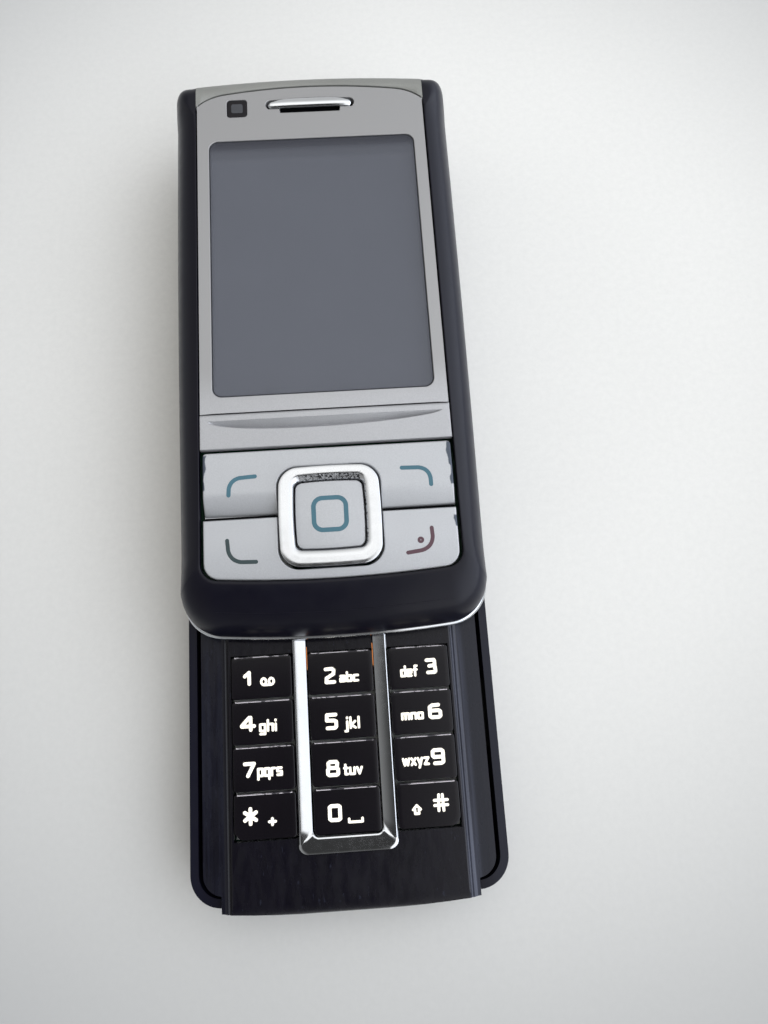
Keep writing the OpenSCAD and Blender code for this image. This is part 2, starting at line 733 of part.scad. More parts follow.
module port_connector() color(STEEL) translate([port_x, 0, end_z]) {
    l = 6;
    y0 = jack_mouth;
    difference() {
        union() {
            block(-port_w / 2, port_w / 2, y0, y0 + l, -port_h / 2, port_h / 2);
            block(-port_w / 2 + 1, port_w / 2 - 1, y0 + 3.4, y0 + l, port_h / 2 - 0.01, board_z - fit - end_z);
        }
        block(-port_w / 2 + 0.4, port_w / 2 - 0.4, y0 - over, y0 + l - 0.8, -port_h / 2 + 0.4, port_h / 2 - 0.4);
    }
    block(-port_w / 2 + 1.2, port_w / 2 - 1.2, y0 + 0.6, y0 + l - 0.7, -0.3, 0.3);
}

module antenna() color(GOLD) difference() {
    w = body_w / 2 - 10;
    block(-w, w, body_l / 2 - wall - 5.4, body_l / 2 - wall - 2.4, 3.4, board_z - fit);
    for (s = [-1, 1]) block(s * 6 - 3, s * 6 + 3, 0, body_l / 2, 3.4 - over, 4.2);
}

module housing_screws() color(STEEL) at_screws() difference() {
    union() {
        translate([0, 0, screw_head_z - 1.1]) cylinder(h = 1.1, r = screw_head_r);
        translate([0, 0, screw_head_z - 0.01]) cylinder(h = deck_under - screw_head_z, r = screw_shank_r);
    }
    translate([0, 0, screw_head_z - 1.1 - over]) cylinder(h = over + 0.6, r = 0.6, $fn = 6);
}

latch_press = 0.8;
spring_r = 1;
spring_wire = 0.25;

module battery_latch() color(PLUM) translate([0, latch_y, 0]) {
    slab(latch_w, latch_l, latch_l / 2, 0.25, 2.6);
    // tongue that holds the cover's edge
    block(-3, 3, -latch_l / 2 - 0.6, 0, 2, 2.6);
}

// Compression spring between the latch and the main board: a round wire wound as a helix
spring_z0 = 2.6 + fit;
spring_z1 = board_z - fit;
spring_turns = 5;
spring_steps = 10;                        // points to a turn

function coil_centre(i) = [
    spring_r * cos(360 * i / spring_steps),
    latch_y + spring_r * sin(360 * i / spring_steps),
    spring_z0 + spring_wire + (spring_z1 - spring_z0 - 2 * spring_wire) * i / (spring_turns * spring_steps)];

module latch_spring() color(STEEL) {
    n = spring_turns * spring_steps;
    sides = 6;
    points = [for (i = [0:n], k = [0:sides - 1]) let (a = 360 * i / spring_steps, b = 360 * k / sides)
        coil_centre(i) + spring_wire * [cos(b) * cos(a), cos(b) * sin(a), sin(b)]];
    last = n * sides;
    faces = concat(
        [for (i = [0:n - 1], k = [0:sides - 1]) let (j = (k + 1) % sides, p = i * sides)
            each [[p + k, p + j, p + sides + j], [p + k, p + sides + j, p + sides + k]]],
        [for (k = [1:sides - 2]) [0, k + 1, k]],
        [for (k = [1:sides - 2]) [last, last + k, last + k + 1]]);
    polyhedron(points, faces);
}

flex_t = 0.2;
flex_base_y = 6;                          // where the flat cable leaves the main board
flex_bed = deck_z - 0.75;                 // floor of its bed in the deck
flex_slide_y = -28;                       // where it enters the upper half, from the slide's middle
flex_loop = 49;                           // length of its free loop, both runs together
flex_loop_y = (flex_loop + flex_base_y + flex_slide_y + slide_travel) / 2;
flex_low = flex_bed + fit;
flex_high = slide_z + 0.55;               // upper run, in the recess under the slide's back

// Flat cable at rest: up from the main board, along the deck, round the loop and into the upper half
module slide_flex() color(GOLD) {
    r = (flex_high + flex_t - flex_low) / 2;
    up = flex_slide_y + slide_travel;
    along_x(-flex_w / 2, flex_w / 2) {
        translate([flex_base_y, board_top]) square([flex_t, flex_low - board_top + flex_t]);
        translate([flex_base_y, flex_low]) square([flex_loop_y - flex_base_y, flex_t]);
        translate([flex_loop_y, flex_low + r]) intersection() {
            difference() {
                circle(r);
                circle(r - flex_t);
            }
            translate([0, -r - over]) square([r + over, 2 * r + 2 * over]);
        }
        translate([up, flex_high]) square([flex_loop_y - up, flex_t]);
        translate([up, flex_high]) square([flex_t, slide_board_z - fit - flex_high]);
    }
}

module battery_cover() color(PLUM) difference() {
    intersection() {
        base_form(0, rim_z);
        block(-battery_cover_w / 2, battery_cover_w / 2, -body_l / 2, cover_top_y, 0, cover_t);
    }
    // finger ridges at the upper end are pressed in from outside
    for (i = [0:3]) translate([0, cover_top_y - 6 - 1.6 * i, 0]) slab(12 - 2 * i, 0.6, 0.3, -over, 0.2);
}

module side_key(y, l) color(BLACK) {
    face = body_w / 2 + 0.25;
    inside = body_w / 2 - wall;
    intersection() {
        block(inside - 0.1, face, y - l / 2, y + l / 2, side_key_z - side_key_h / 2, side_key_z + side_key_h / 2);
        translate([face - 3, y, side_key_z]) rotate([90, 0, 0]) cylinder(h = l + over, r = 3, center = true);
    }
    block(inside - 0.7, inside, y - l / 2, y + l / 2, side_key_z - 1, side_key_z + 1);
    block(inside - 1.2, inside - 0.6, y - l / 2 - 0.6, y + l / 2 + 0.6, side_key_z - 1.5, side_key_z + 1.45);
}

module volume_key() difference() {
    side_key(volume_y, volume_l);
    // a shallow dip parts the two ends
    translate([body_w / 2 + 6, volume_y, side_key_z]) cylinder(h = 4, r = 5.95, center = true, $fn = 96);
}

module camera_key() side_key(shutter_y, shutter_l);

module card_flap() color(PLUM) {
    x = body_w / 2;
    mirror([1, 0, 0]) {
        block(x - wall + 0.1, x - 0.12, flap_y - flap_l / 2, flap_y + flap_l / 2,
              side_key_z - side_key_h / 2, side_key_z + side_key_h / 2);
    }
}

// ---------- upper half, drawn about its own middle ----------

module slid_open() translate([0, slide_travel, 0]) children();

slide_screw_spots = [for (sx = [-1, 1], y = [carriage_y + 3, carriage_y + carriage_l - 3])
    [sx * (deck_w / 2 - 1.1), y]];

module at_slide_screws() {
    for (p = slide_screw_spots) translate([p[0], p[1], 0]) children();
}

module front_frame() color(PLUM) difference() {
    slide_form(0, skirt_z);
    // hollow for the boards, under the face
    difference() {
        slide_form(frame_wall, skirt_z - over);
        block(-body_w, body_w, -half_l, half_l, 0, back_top + fit);
    }
    // opening for the silver face and its keys, out through the top end
    translate([0, 0, back_top]) linear_extrude(slide_h + over) face_opening(2 * (face_half + fit), 0);
    block(-cap_half - fit, cap_half + fit, cap_side_y - fit, half_l + over, trim_z, face_z + over);
    // room for the back plate and the carriage
    block(-inside_x, inside_x, -half_l - over, half_l + over, 0, back_top + fit);
    block(-body_w, body_w, -half_l - over, trim_reach - half_l, 0, trim_z);
    // the chrome line's seat
    trim_ring(fit);
}

trim_reach = chin_corner_r + 2.5;         // from the chin's end to the ends of the chrome line

// The chrome line: a thin rim that follows the chin's outline
module trim_ring(grow) {
    intersection() {
        translate([0, 0, trim_z]) linear_extrude(trim_h + grow) difference() {
            slide_plan(-over, 0);
            slide_plan(0.7 + grow);
        }
        block(-body_w, body_w, -body_l, trim_reach - half_l + grow, 0, face_z);
    }
}

module chin_trim() color(CHROME) {
    translate([0, 0, trim_z]) linear_extrude(trim_h) intersection() {
        difference() {
            slide_plan(0, 0);
            slide_plan(0.7);
        }
        translate([-body_w, -body_l]) square([2 * body_w, body_l + trim_reach - half_l]);
    }
}

module top_cap() color(SILVER) difference() {
    intersection() {
        slide_form(0, trim_z + fit);
        translate([-cap_half, 0, 0]) cube([2 * cap_half, half_l + over, 2 * face_z]);
        translate([0, 0, slide_z]) linear_extrude(2 * slide_h) above_cap_arc(-fit);
    }
    difference() {
        slide_form(wall, 0);
        block(-body_w, body_w, 0, cap_y - 5, 0, face_z);
    }
    power_key_opening();
}

power_w = 9;
power_h = 2.4;
power_z = trim_z + 2.9;

module power_key_opening() translate([0, half_l, power_z]) rotate([90, 0, 0])
    translate([0, 0, -over]) linear_extrude(over + 3) rounded_rect(power_w + 2 * key_gap, power_h + 2 * key_gap, power_h / 2);

module power_key() color(BLACK) {
    translate([0, half_l + 0.2, power_z]) rotate([90, 0, 0]) linear_extrude(wall + 0.8) rounded_rect(power_w, power_h, power_h / 2 - 0.1);
    block(-power_w / 2 - 0.6, power_w / 2 + 0.6, half_l - wall - 1, half_l - wall - 0.5, power_z - 1.7, power_z + 1.7);
}

module display_bezel() color(SILVER) difference() {
    translate([0, 0, face_z - face_t]) linear_extrude(face_t) difference() {
        translate([-face_half, seam_y + fit / 2]) square([face_w, cap_y - seam_y]);
        above_cap_arc(fit / 2);
    }
    translate([0, window_y, 0]) slab(window_w, window_l, window_r, 0, face_z + over);
    translate([0, ear_y, 0]) slab(ear_bar_l + 2 * fit, 1.8 + 2 * fit, 0.9 + fit, 0, face_z + over);
    translate([0, ear_y - 1.2, 0]) slab(9.8, 0.9, 0.4, 0, face_z + over);
    translate([-eye_x, eye_y, 0]) slab(eye_w + fit, eye_w + fit, 0.5, 0, face_z + over);
}

// Finger grip with a long, lens-shaped groove
module thumb_strip() color(SILVER) {
    groove_r = 1.1;
    groove_l = 35;
    sweep_r = groove_l * groove_l / (8 * groove_depth);
    difference() {
        block(-face_half, face_half, strip_y, seam_y - fit / 2, face_z - face_t, face_z);
        translate([0, seam_y - 2.1, face_z - groove_depth + sweep_r]) rotate([90, 0, 0])
            rotate_extrude($fn = 360) translate([sweep_r - groove_r, 0]) circle(groove_r);
    }
}

module display_window() color([0.36, 0.37, 0.40, 0.5])
    translate([0, window_y, 0]) slab(window_w - fit, window_l - fit, window_r, face_z - face_t, face_z - 0.1);

module display_module() color([0.30, 0.31, 0.34]) {
    glass_top = face_z - face_t - 0.9;
    difference() {
        translate([0, window_y - 1.5, 0]) slab(face_w - 1.4, window_l + 6.4, 0.6, slide_board_top, glass_top + 0.5);
        translate([0, window_y - 0.4, 0]) slab(window_w + 1.4, window_l + 2.4, 0.4, glass_top - 1, glass_top + over);
    }
    translate([0, window_y - 0.4, 0]) slab(window_w + 1.2, window_l + 2.2, 0.3, glass_top - 1, glass_top);
}

module earpiece_bar() color(CHROME) translate([0, ear_y, 0]) intersection() {
    slab(ear_bar_l, 1.8, 0.9, face_z - face_t, face_z + 0.5);
    translate([0, 0, face_z + 0.35 - 2.2]) rotate([0, 90, 0]) cylinder(h = ear_bar_l, r = 2.2, center = true);
}

module earpiece() color(BLACK) translate([0, ear_y - 1.4, 0])
    slab(12, 5.4, 1.2, slide_board_top, face_z - face_t - fit);

module front_camera() color(BLACK) {
    translate([-eye_x, eye_y, 0]) difference() {
        slab(eye_w, eye_w, 0.45, face_z - face_t, face_z - 0.05);
        slab(2, 1.8, 0.3, face_z - 0.25, face_z + over);
    }
    translate([-eye_x, eye_y, 0]) slab(4.6, 4.6, 0.5, slide_board_top, face_z - face_t - fit);
}

module slide_board() color(BOARD_GREEN) {
    w = body_w - 2 * frame_wall - 1.4;
    y0 = chin_corner_r - half_l;
    translate([0, (y0 + cap_y) / 2, 0]) slab(w - 1, cap_y - y0, 2, slide_board_z, slide_board_top);
    for (p = dome_spots()) translate([p[0], p[1], slide_board_top]) dome(2, dome_h);
}

soft_mid = soft_y + soft_l / 2;
call_mid = call_y + call_l / 2;
bar_press_x = 13;

// Dome under each end of both bars, under the ring's four sides and under the middle key
function dome_spots() = concat(
    [for (s = [-1, 1], y = [soft_mid, call_mid]) [s * bar_press_x, y]],
    [for (a = [0:90:270]) [ring_mid * cos(a), ring_y + ring_mid * sin(a)]],
    [[0, ring_y]]);
ring_mid = (ring_w - ring_band) / 2 + 0.2;

func_mat_z = slide_board_top + dome_h + fit + 0.35;

module function_mat() color(RUBBER) {
    block(-field_w / 2, field_w / 2, call_y + 2.2, soft_y + soft_l, func_mat_z, func_mat_z + mat_t);
    for (p = dome_spots()) translate([p[0], p[1], slide_board_top + dome_h + fit])
        cylinder(h = func_mat_z - slide_board_top - dome_h - fit + 0.01, r = 1);
}

module ring_plan(w, r) rounded_rect(w, w, r);

// Cuts the ring's seat out of a bar
module ring_seat() translate([0, ring_y, 0]) linear_extrude(2 * face_z) ring_plan(ring_w + 2 * func_gap, ring_r + func_gap);

// One bar of keys: a wave across its height, highest above its middle
module key_bar_form(y0, l, rise) {
    wave_r = 30;
    intersection() {
        translate([0, 0, func_under]) linear_extrude(func_t + over) intersection() {
            translate([-field_w / 2, y0]) square([field_w, l]);
            face_opening(field_w, func_gap);
        }
        translate([0, y0 + l * rise, face_z - wave_r]) rotate([0, 90, 0])
            cylinder(h = body_w, r = wave_r, center = true, $fn = 360);
    }
}

// Pegs under both ends of a bar, just clear of the mat
module bar_pegs(y) for (s = [-1, 1]) translate([s * bar_press_x, y, func_mat_z + mat_t + 0.35])
    cylinder(h = func_under - func_mat_z - mat_t - 0.34, r = 1.2);

module softkey_bar() color(SILVER) {
    difference() {
        key_bar_form(soft_y, soft_l, 0.62);
        ring_seat();
    }
    bar_pegs(soft_mid);
}

module call_bar() color(SILVER) {
    difference() {
        key_bar_form(call_y - 0.5, call_l + 0.5, 0.6);
        ring_seat();
    }
    bar_pegs(call_mid);
}

// Cradle under the ring that rocks up and down on the mat
module nav_rocker() color(BLACK) translate([0, ring_y, 0]) difference() {
    slab(ring_w - 0.6, ring_w - 0.6, 2.8, func_mat_z + mat_t + 0.35, func_under - 0.1);
    slab(ring_w - 2 * ring_band + 1.4, ring_w - 2 * ring_band + 1.4, 1, 0, face_z);
}

module nav_ring() color(CHROME) translate([0, ring_y, 0]) {
    top = face_z + ring_proud;
    inner = ring_w - 2 * ring_band;
    lip = 0.5;
    difference() {
        union() {
            slab(ring_w, ring_w, ring_r, func_under + 0.25, top - lip);
            slab(ring_w - 2 * lip, ring_w - 2 * lip, ring_r - lip, top - lip - 0.01, top);
            // round top edges, made where the bevel would be
            ring_edge(ring_w, ring_r, lip, top);
        }
        slab(inner, inner, 1.6, 0, top + over);
    }
}

// Quarter-round edge along the straight sides and corners of a rounded square
module ring_edge(w, r, lip, top) {
    half = w / 2 - r;
    for (a = [0:90:270]) rotate(a) {
        translate([half, half, top - lip]) rotate_extrude(angle = 90) translate([r - lip, 0]) quarter(lip);
        translate([w / 2 - lip, 0, top - lip]) rotate([90, 0, 0]) translate([0, 0, -half])
            linear_extrude(2 * half) quarter(lip);
    }
}

module quarter(r) intersection() {
    circle(r);
    square(r);
}

select_gap = 0.18;

module select_key() color(SILVER) translate([0, ring_y, 0]) {
    w = ring_w - 2 * ring_band - 2 * select_gap;
    crown = 50;
    intersection() {
        slab(w, w, 1.5, func_mat_z + mat_t + 0.4, face_z + ring_proud);
        translate([0, 0, face_z + 0.1 - crown]) rotate([0, 90, 0]) cylinder(h = 20, r = crown, center = true, $fn = 360);
    }
}

module slide_back() color(PLUM) difference() {
    intersection() {
        translate([0, 0, slide_z]) linear_extrude(back_t) slide_plan(0.7 + fit);
        block(-inside_x + fit, inside_x - fit, -half_l, half_l - wall - 0.9, 0, face_z);
    }
    // seat of the carriage plate
    block(-body_w, body_w, carriage_y - fit, carriage_y + carriage_l + fit, 0, slide_z + steel_t + fit);
    // recess and slot of the flat cable
    block(-flex_w / 2 - 0.5, flex_w / 2 + 0.5, flex_slide_y - 1, flex_loop_y - slide_travel / 2 + 2, 0, flex_high + flex_t + fit);
    block(-flex_w / 2 - 0.5, flex_w / 2 + 0.5, flex_slide_y - 0.6, flex_slide_y + 0.8, 0, face_z);
    at_slide_screws() cylinder(h = face_z, r = screw_shank_r);
}

module slide_carriage() color(STEEL) difference() {
    union() {
        block(-web_x - steel_t, web_x + steel_t, carriage_y, carriage_y + carriage_l, slide_z, slide_z + steel_t);
        both_sides() {
            block(web_x, web_x + steel_t, carriage_y, carriage_y + carriage_l, lip_z - steel_t / 2, slide_z + steel_t);
            block(rail_x + steel_t + 0.8, web_x + steel_t, carriage_y, carriage_y + carriage_l,
                  lip_z - steel_t / 2, lip_z + steel_t / 2);
        }
    }
    block(-flex_w / 2 - 0.8, flex_w / 2 + 0.8, flex_slide_y - 1.5, carriage_y + carriage_l - 2, 0, face_z);
    at_slide_screws() cylinder(h = face_z, r = screw_shank_r + 0.3);
}

// Plastic runner strips that wrap the carriage's lips inside the rails
module slide_runners() color(RUBBER) {
    x0 = rail_x + steel_t + run_gap;
    x1 = rail_x + rail_w - 0.1;
    both_sides() difference() {
        block(x0, x1, carriage_y + 0.5, carriage_y + carriage_l - 0.5, groove_low + run_gap, groove_high - run_gap);
        block(rail_x + steel_t + 0.75, web_x, carriage_y - over, carriage_y + carriage_l + over,
              lip_z - steel_t / 2 - 0.03, lip_z + steel_t / 2 + 0.03);
    }
}

module slide_screws() color(STEEL) at_slide_screws() {
    translate([0, 0, slide_z + steel_t + fit + 0.02]) cylinder(h = slide_board_z - slide_z - steel_t - 2 * fit, r = screw_shank_r - 0.02);
}

// ---------- the whole phone ----------

rear_housing();
keypad_cover();
guide_rails();
keypad_frame();
keypad_mat();
keypad_domes();
main_board();
card_socket();
battery();
sim_card();
loudspeaker();
vibra_motor();
vibra_weight();
rear_camera();
camera_panel();
charger_jack();
port_connector();
antenna();
housing_screws();
battery_latch();
latch_spring();
battery_cover();
volume_key();
camera_key();
card_flap();
slide_flex();
for (i = [0:11]) number_key(i);
slid_open() front_frame();
slid_open() top_cap();
slid_open() display_bezel();
slid_open() thumb_strip();
slid_open() display_window();
slid_open() display_module();
slid_open() earpiece_bar();
slid_open() earpiece();
slid_open() front_camera();
slid_open() chin_trim();
slid_open() slide_board();
slid_open() function_mat();
slid_open() slide_back();
slid_open() slide_carriage();
slid_open() slide_runners();
slid_open() slide_screws();
slid_open() softkey_bar();
slid_open() call_bar();
slid_open() nav_rocker();
slid_open() nav_ring();
slid_open() select_key();
slid_open() power_key();
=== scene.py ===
# %% [markdown]
# # A slider phone, slid open
#
# The phone lies on its back with its upper half slid up, so the number keys show. The solids of the
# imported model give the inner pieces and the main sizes. This script gives the pieces in view their
# fine shapes, and all pieces their finishes.

# %% Load the model
import bpy
import json
import math
import numpy as np
from mathutils import Matrix, Vector


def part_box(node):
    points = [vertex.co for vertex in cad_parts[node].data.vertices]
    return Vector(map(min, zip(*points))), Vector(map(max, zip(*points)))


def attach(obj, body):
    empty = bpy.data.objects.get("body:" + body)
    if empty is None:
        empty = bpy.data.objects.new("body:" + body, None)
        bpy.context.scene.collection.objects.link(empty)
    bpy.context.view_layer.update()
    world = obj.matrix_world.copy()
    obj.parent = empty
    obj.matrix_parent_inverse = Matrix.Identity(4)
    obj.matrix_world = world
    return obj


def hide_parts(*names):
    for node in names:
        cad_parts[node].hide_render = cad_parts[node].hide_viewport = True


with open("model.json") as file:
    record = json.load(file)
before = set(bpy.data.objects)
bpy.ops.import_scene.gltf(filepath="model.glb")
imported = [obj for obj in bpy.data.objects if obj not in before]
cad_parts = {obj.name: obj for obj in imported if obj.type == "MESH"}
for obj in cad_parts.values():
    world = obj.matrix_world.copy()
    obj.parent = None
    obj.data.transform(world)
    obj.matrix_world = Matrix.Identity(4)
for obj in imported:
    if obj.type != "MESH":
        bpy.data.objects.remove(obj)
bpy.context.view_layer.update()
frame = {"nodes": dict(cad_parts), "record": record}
nodes = frame["nodes"]
print("pieces loaded:", len(nodes))

# %% [markdown]
# ## Camera
#
# The picture is taken from above the lower end, so the far end looks smaller. A camera keeps that
# look only if it stands where the photographer stood, so its place and its lens are set together.

# %% Camera
def look_matrix(place, ahead, up):
    """Camera axes as columns: right, up, and the reverse of the way it looks."""
    ahead = Vector(ahead).normalized()
    right = ahead.cross(Vector(up)).normalized()
    true_up = right.cross(ahead)
    turn = Matrix((right, true_up, -ahead)).transposed().to_4x4()
    return Matrix.Translation(place) @ turn


CAMERA_PLACE = (0.00440, -0.01971, 0.12788)     # metres
CAMERA_AHEAD = (0.03116, 0.22881, -0.97297)     # the way it looks
CAMERA_UP = (0.0587, 0.97135, 0.2303)
SENSOR_HIGH = 36                                # millimetres
FOCAL_PIXELS, PICTURE_HIGH = 759.35, 1024       # the lens and the picture's height in pixels

camera_data = bpy.data.cameras.new("camera")
camera = bpy.data.objects.new("camera", camera_data)
bpy.context.scene.collection.objects.link(camera)
camera.matrix_world = look_matrix(CAMERA_PLACE, CAMERA_AHEAD, CAMERA_UP)
camera_data.sensor_fit = "VERTICAL"
camera_data.sensor_height = SENSOR_HIGH
camera_data.lens = FOCAL_PIXELS * SENSOR_HIGH / PICTURE_HIGH
camera_data.clip_start = 0.005
bpy.context.scene.camera = camera
print("lens in mm:", round(camera_data.lens, 2))

# %% [markdown]
# ## Sizes
#
# The scene works in millimetres and divides by a thousand when a mesh is made. The heights and the
# ring's place are read from the solids, and other sizes repeat theirs or are given and named.
# The upper half is drawn about its own middle and then moved along the phone by its travel.

# %% Sizes in millimetres
def box_mm(name):
    """Lowest and highest corner of a solid's box."""
    low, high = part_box(name)
    return np.array(low) * 1000, np.array(high) * 1000


TRAVEL = 36.75
HALF_W = 23.0
HALF_L = 48.25             # half the length of the upper half
MIRROR = np.array([-1.0, 1.0])
FACE_Z = box_mm("display_bezel")[1][2]
KEY_TOP = box_mm("key_5")[1][2]
RING_LOW, RING_HIGH = box_mm("nav_ring")
RING_DOWN = 0.45           # the ring lies this much nearer the chin than its solid
RING_Y = (RING_LOW[1] + RING_HIGH[1]) / 2 - TRAVEL - RING_DOWN
KEY_Y = RING_Y + 0.17      # the middle key sits a little higher than the ring's outline
print("face height", FACE_Z, "key height", KEY_TOP, "ring centre", RING_Y)

# %% [markdown]
# ## Mesh helpers
#
# Every new piece is a set of points worked out as whole arrays. A helper turns an array into a mesh
# and says which body of the phone it moves with and which plain solid it stands for.

# %% Making meshes
def make_piece(name, points, faces, body, material, stands_for=(), lift=0.0, sharp=None):
    """Points are millimetres, an array of n by 3. lift moves a piece of the upper half along its travel."""
    points = np.asarray(points, dtype=float).copy()
    points[:, 1] += lift
    mesh = bpy.data.meshes.new(name)
    mesh.from_pydata((points / 1000).tolist(), [], faces)
    mesh.validate()
    mesh.polygons.foreach_set("use_smooth", np.ones(len(mesh.polygons), dtype=bool))
    mesh.update()
    if sharp is not None:
        mesh.set_sharp_from_angle(angle=math.radians(sharp))
    piece = bpy.data.objects.new(name, mesh)
    bpy.context.scene.collection.objects.link(piece)
    mesh.materials.append(material)
    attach(piece, body)
    for node in stands_for:
        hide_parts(node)
    return piece


def grid_faces(rows, columns, wrap_rows=False, wrap_columns=False, start=0, flip=False):
    """Quads between neighbouring points of a rows by columns grid stored row by row."""
    r = np.arange(rows if wrap_rows else rows - 1)
    c = np.arange(columns if wrap_columns else columns - 1)
    r, c = [a.ravel() for a in np.meshgrid(r, c, indexing="ij")]
    r1, c1 = (r + 1) % rows, (c + 1) % columns
    quads = np.stack([r * columns + c, r * columns + c1, r1 * columns + c1, r1 * columns + c], axis=1) + start
    if flip:
        quads = quads[:, ::-1]
    return quads.tolist()


def swept(sections, closed_path=False):
    """A tube from an array of sections, path by profile by 3, each profile a closed loop. Open ends get
    caps."""
    n, m, _ = sections.shape
    faces = grid_faces(n, m, wrap_rows=closed_path, wrap_columns=True)
    if not closed_path:
        faces.append(list(range(m)))
        faces.append([(n - 1) * m + i for i in reversed(range(m))])
    return sections.reshape(-1, 3), faces


def fix_normals(piece):
    """Turns all faces outwards. Used where a path may run either way round."""
    import bmesh
    work = bmesh.new()
    work.from_mesh(piece.data)
    bmesh.ops.remove_doubles(work, verts=work.verts, dist=1e-7)
    bmesh.ops.recalc_face_normals(work, faces=work.faces)
    work.to_mesh(piece.data)
    work.free()
    piece.data.update()
    return piece


def face_up(piece):
    """Turns a flat print over if its first face looks down."""
    if piece.data.polygons[0].normal.z < 0:
        piece.data.flip_normals()
    return piece


def face_centres(mesh):
    """Middles of all faces, in metres, an array of n by 3."""
    centre = np.zeros(len(mesh.polygons) * 3)
    mesh.polygons.foreach_get("center", centre)
    return centre.reshape(-1, 3)


def arc(cx, cy, r, a0, a1, n):
    """Points of a circle's arc from angle a0 to a1, in degrees."""
    a = np.radians(np.linspace(a0, a1, n))
    return np.stack([cx + r * np.cos(a), cy + r * np.sin(a)], axis=1)


def line(p, q, n):
    """n points from p to q."""
    t = np.linspace(0, 1, n)[:, None]
    return np.array(p)[None] * (1 - t) + np.array(q)[None] * t


def arch(half, y, rise, power, n):
    """n points from right to left over a span: the height falls with a power of the distance from its
    middle."""
    x = np.linspace(half, -half, n)
    return np.stack([x, y + rise * (1 - (x / half) ** power)], axis=1)


def at_height(loop, z):
    """A flat loop lifted to one height."""
    return np.concatenate([loop, np.full((len(loop), 1), z)], axis=1)


def rounded_loop(w, l, r, n=12, cx=0.0, cy=0.0, side=6):
    """Closed loop round a rounded rectangle, anticlockwise, with n points a corner."""
    parts = []
    for sx, sy, a in ((1, 1, 0), (-1, 1, 90), (-1, -1, 180), (1, -1, 270)):
        parts.append(arc(cx + sx * (w / 2 - r), cy + sy * (l / 2 - r), r, a, a + 90, n))
    loop = []
    for i, part in enumerate(parts):
        loop.append(part)
        loop.append(line(part[-1], parts[(i + 1) % 4][0], side + 2)[1:-1])
    return np.concatenate(loop)


# %% [markdown]
# ## Finishes
#
# A finish is a small set of nodes: the colour with a slow variation, a fine grain, and a bump that
# breaks up the reflections. Patterns use Object coordinates, so they stay put on the piece.

# %% Material maker
def srgb(r, g, b):
    """Eye values from 0 to 255 as the linear values that a shader takes."""
    c = np.array([r, g, b]) / 255
    lin = np.where(c <= 0.04045, c / 12.92, ((c + 0.055) / 1.055) ** 2.4)
    return (*lin.tolist(), 1.0)


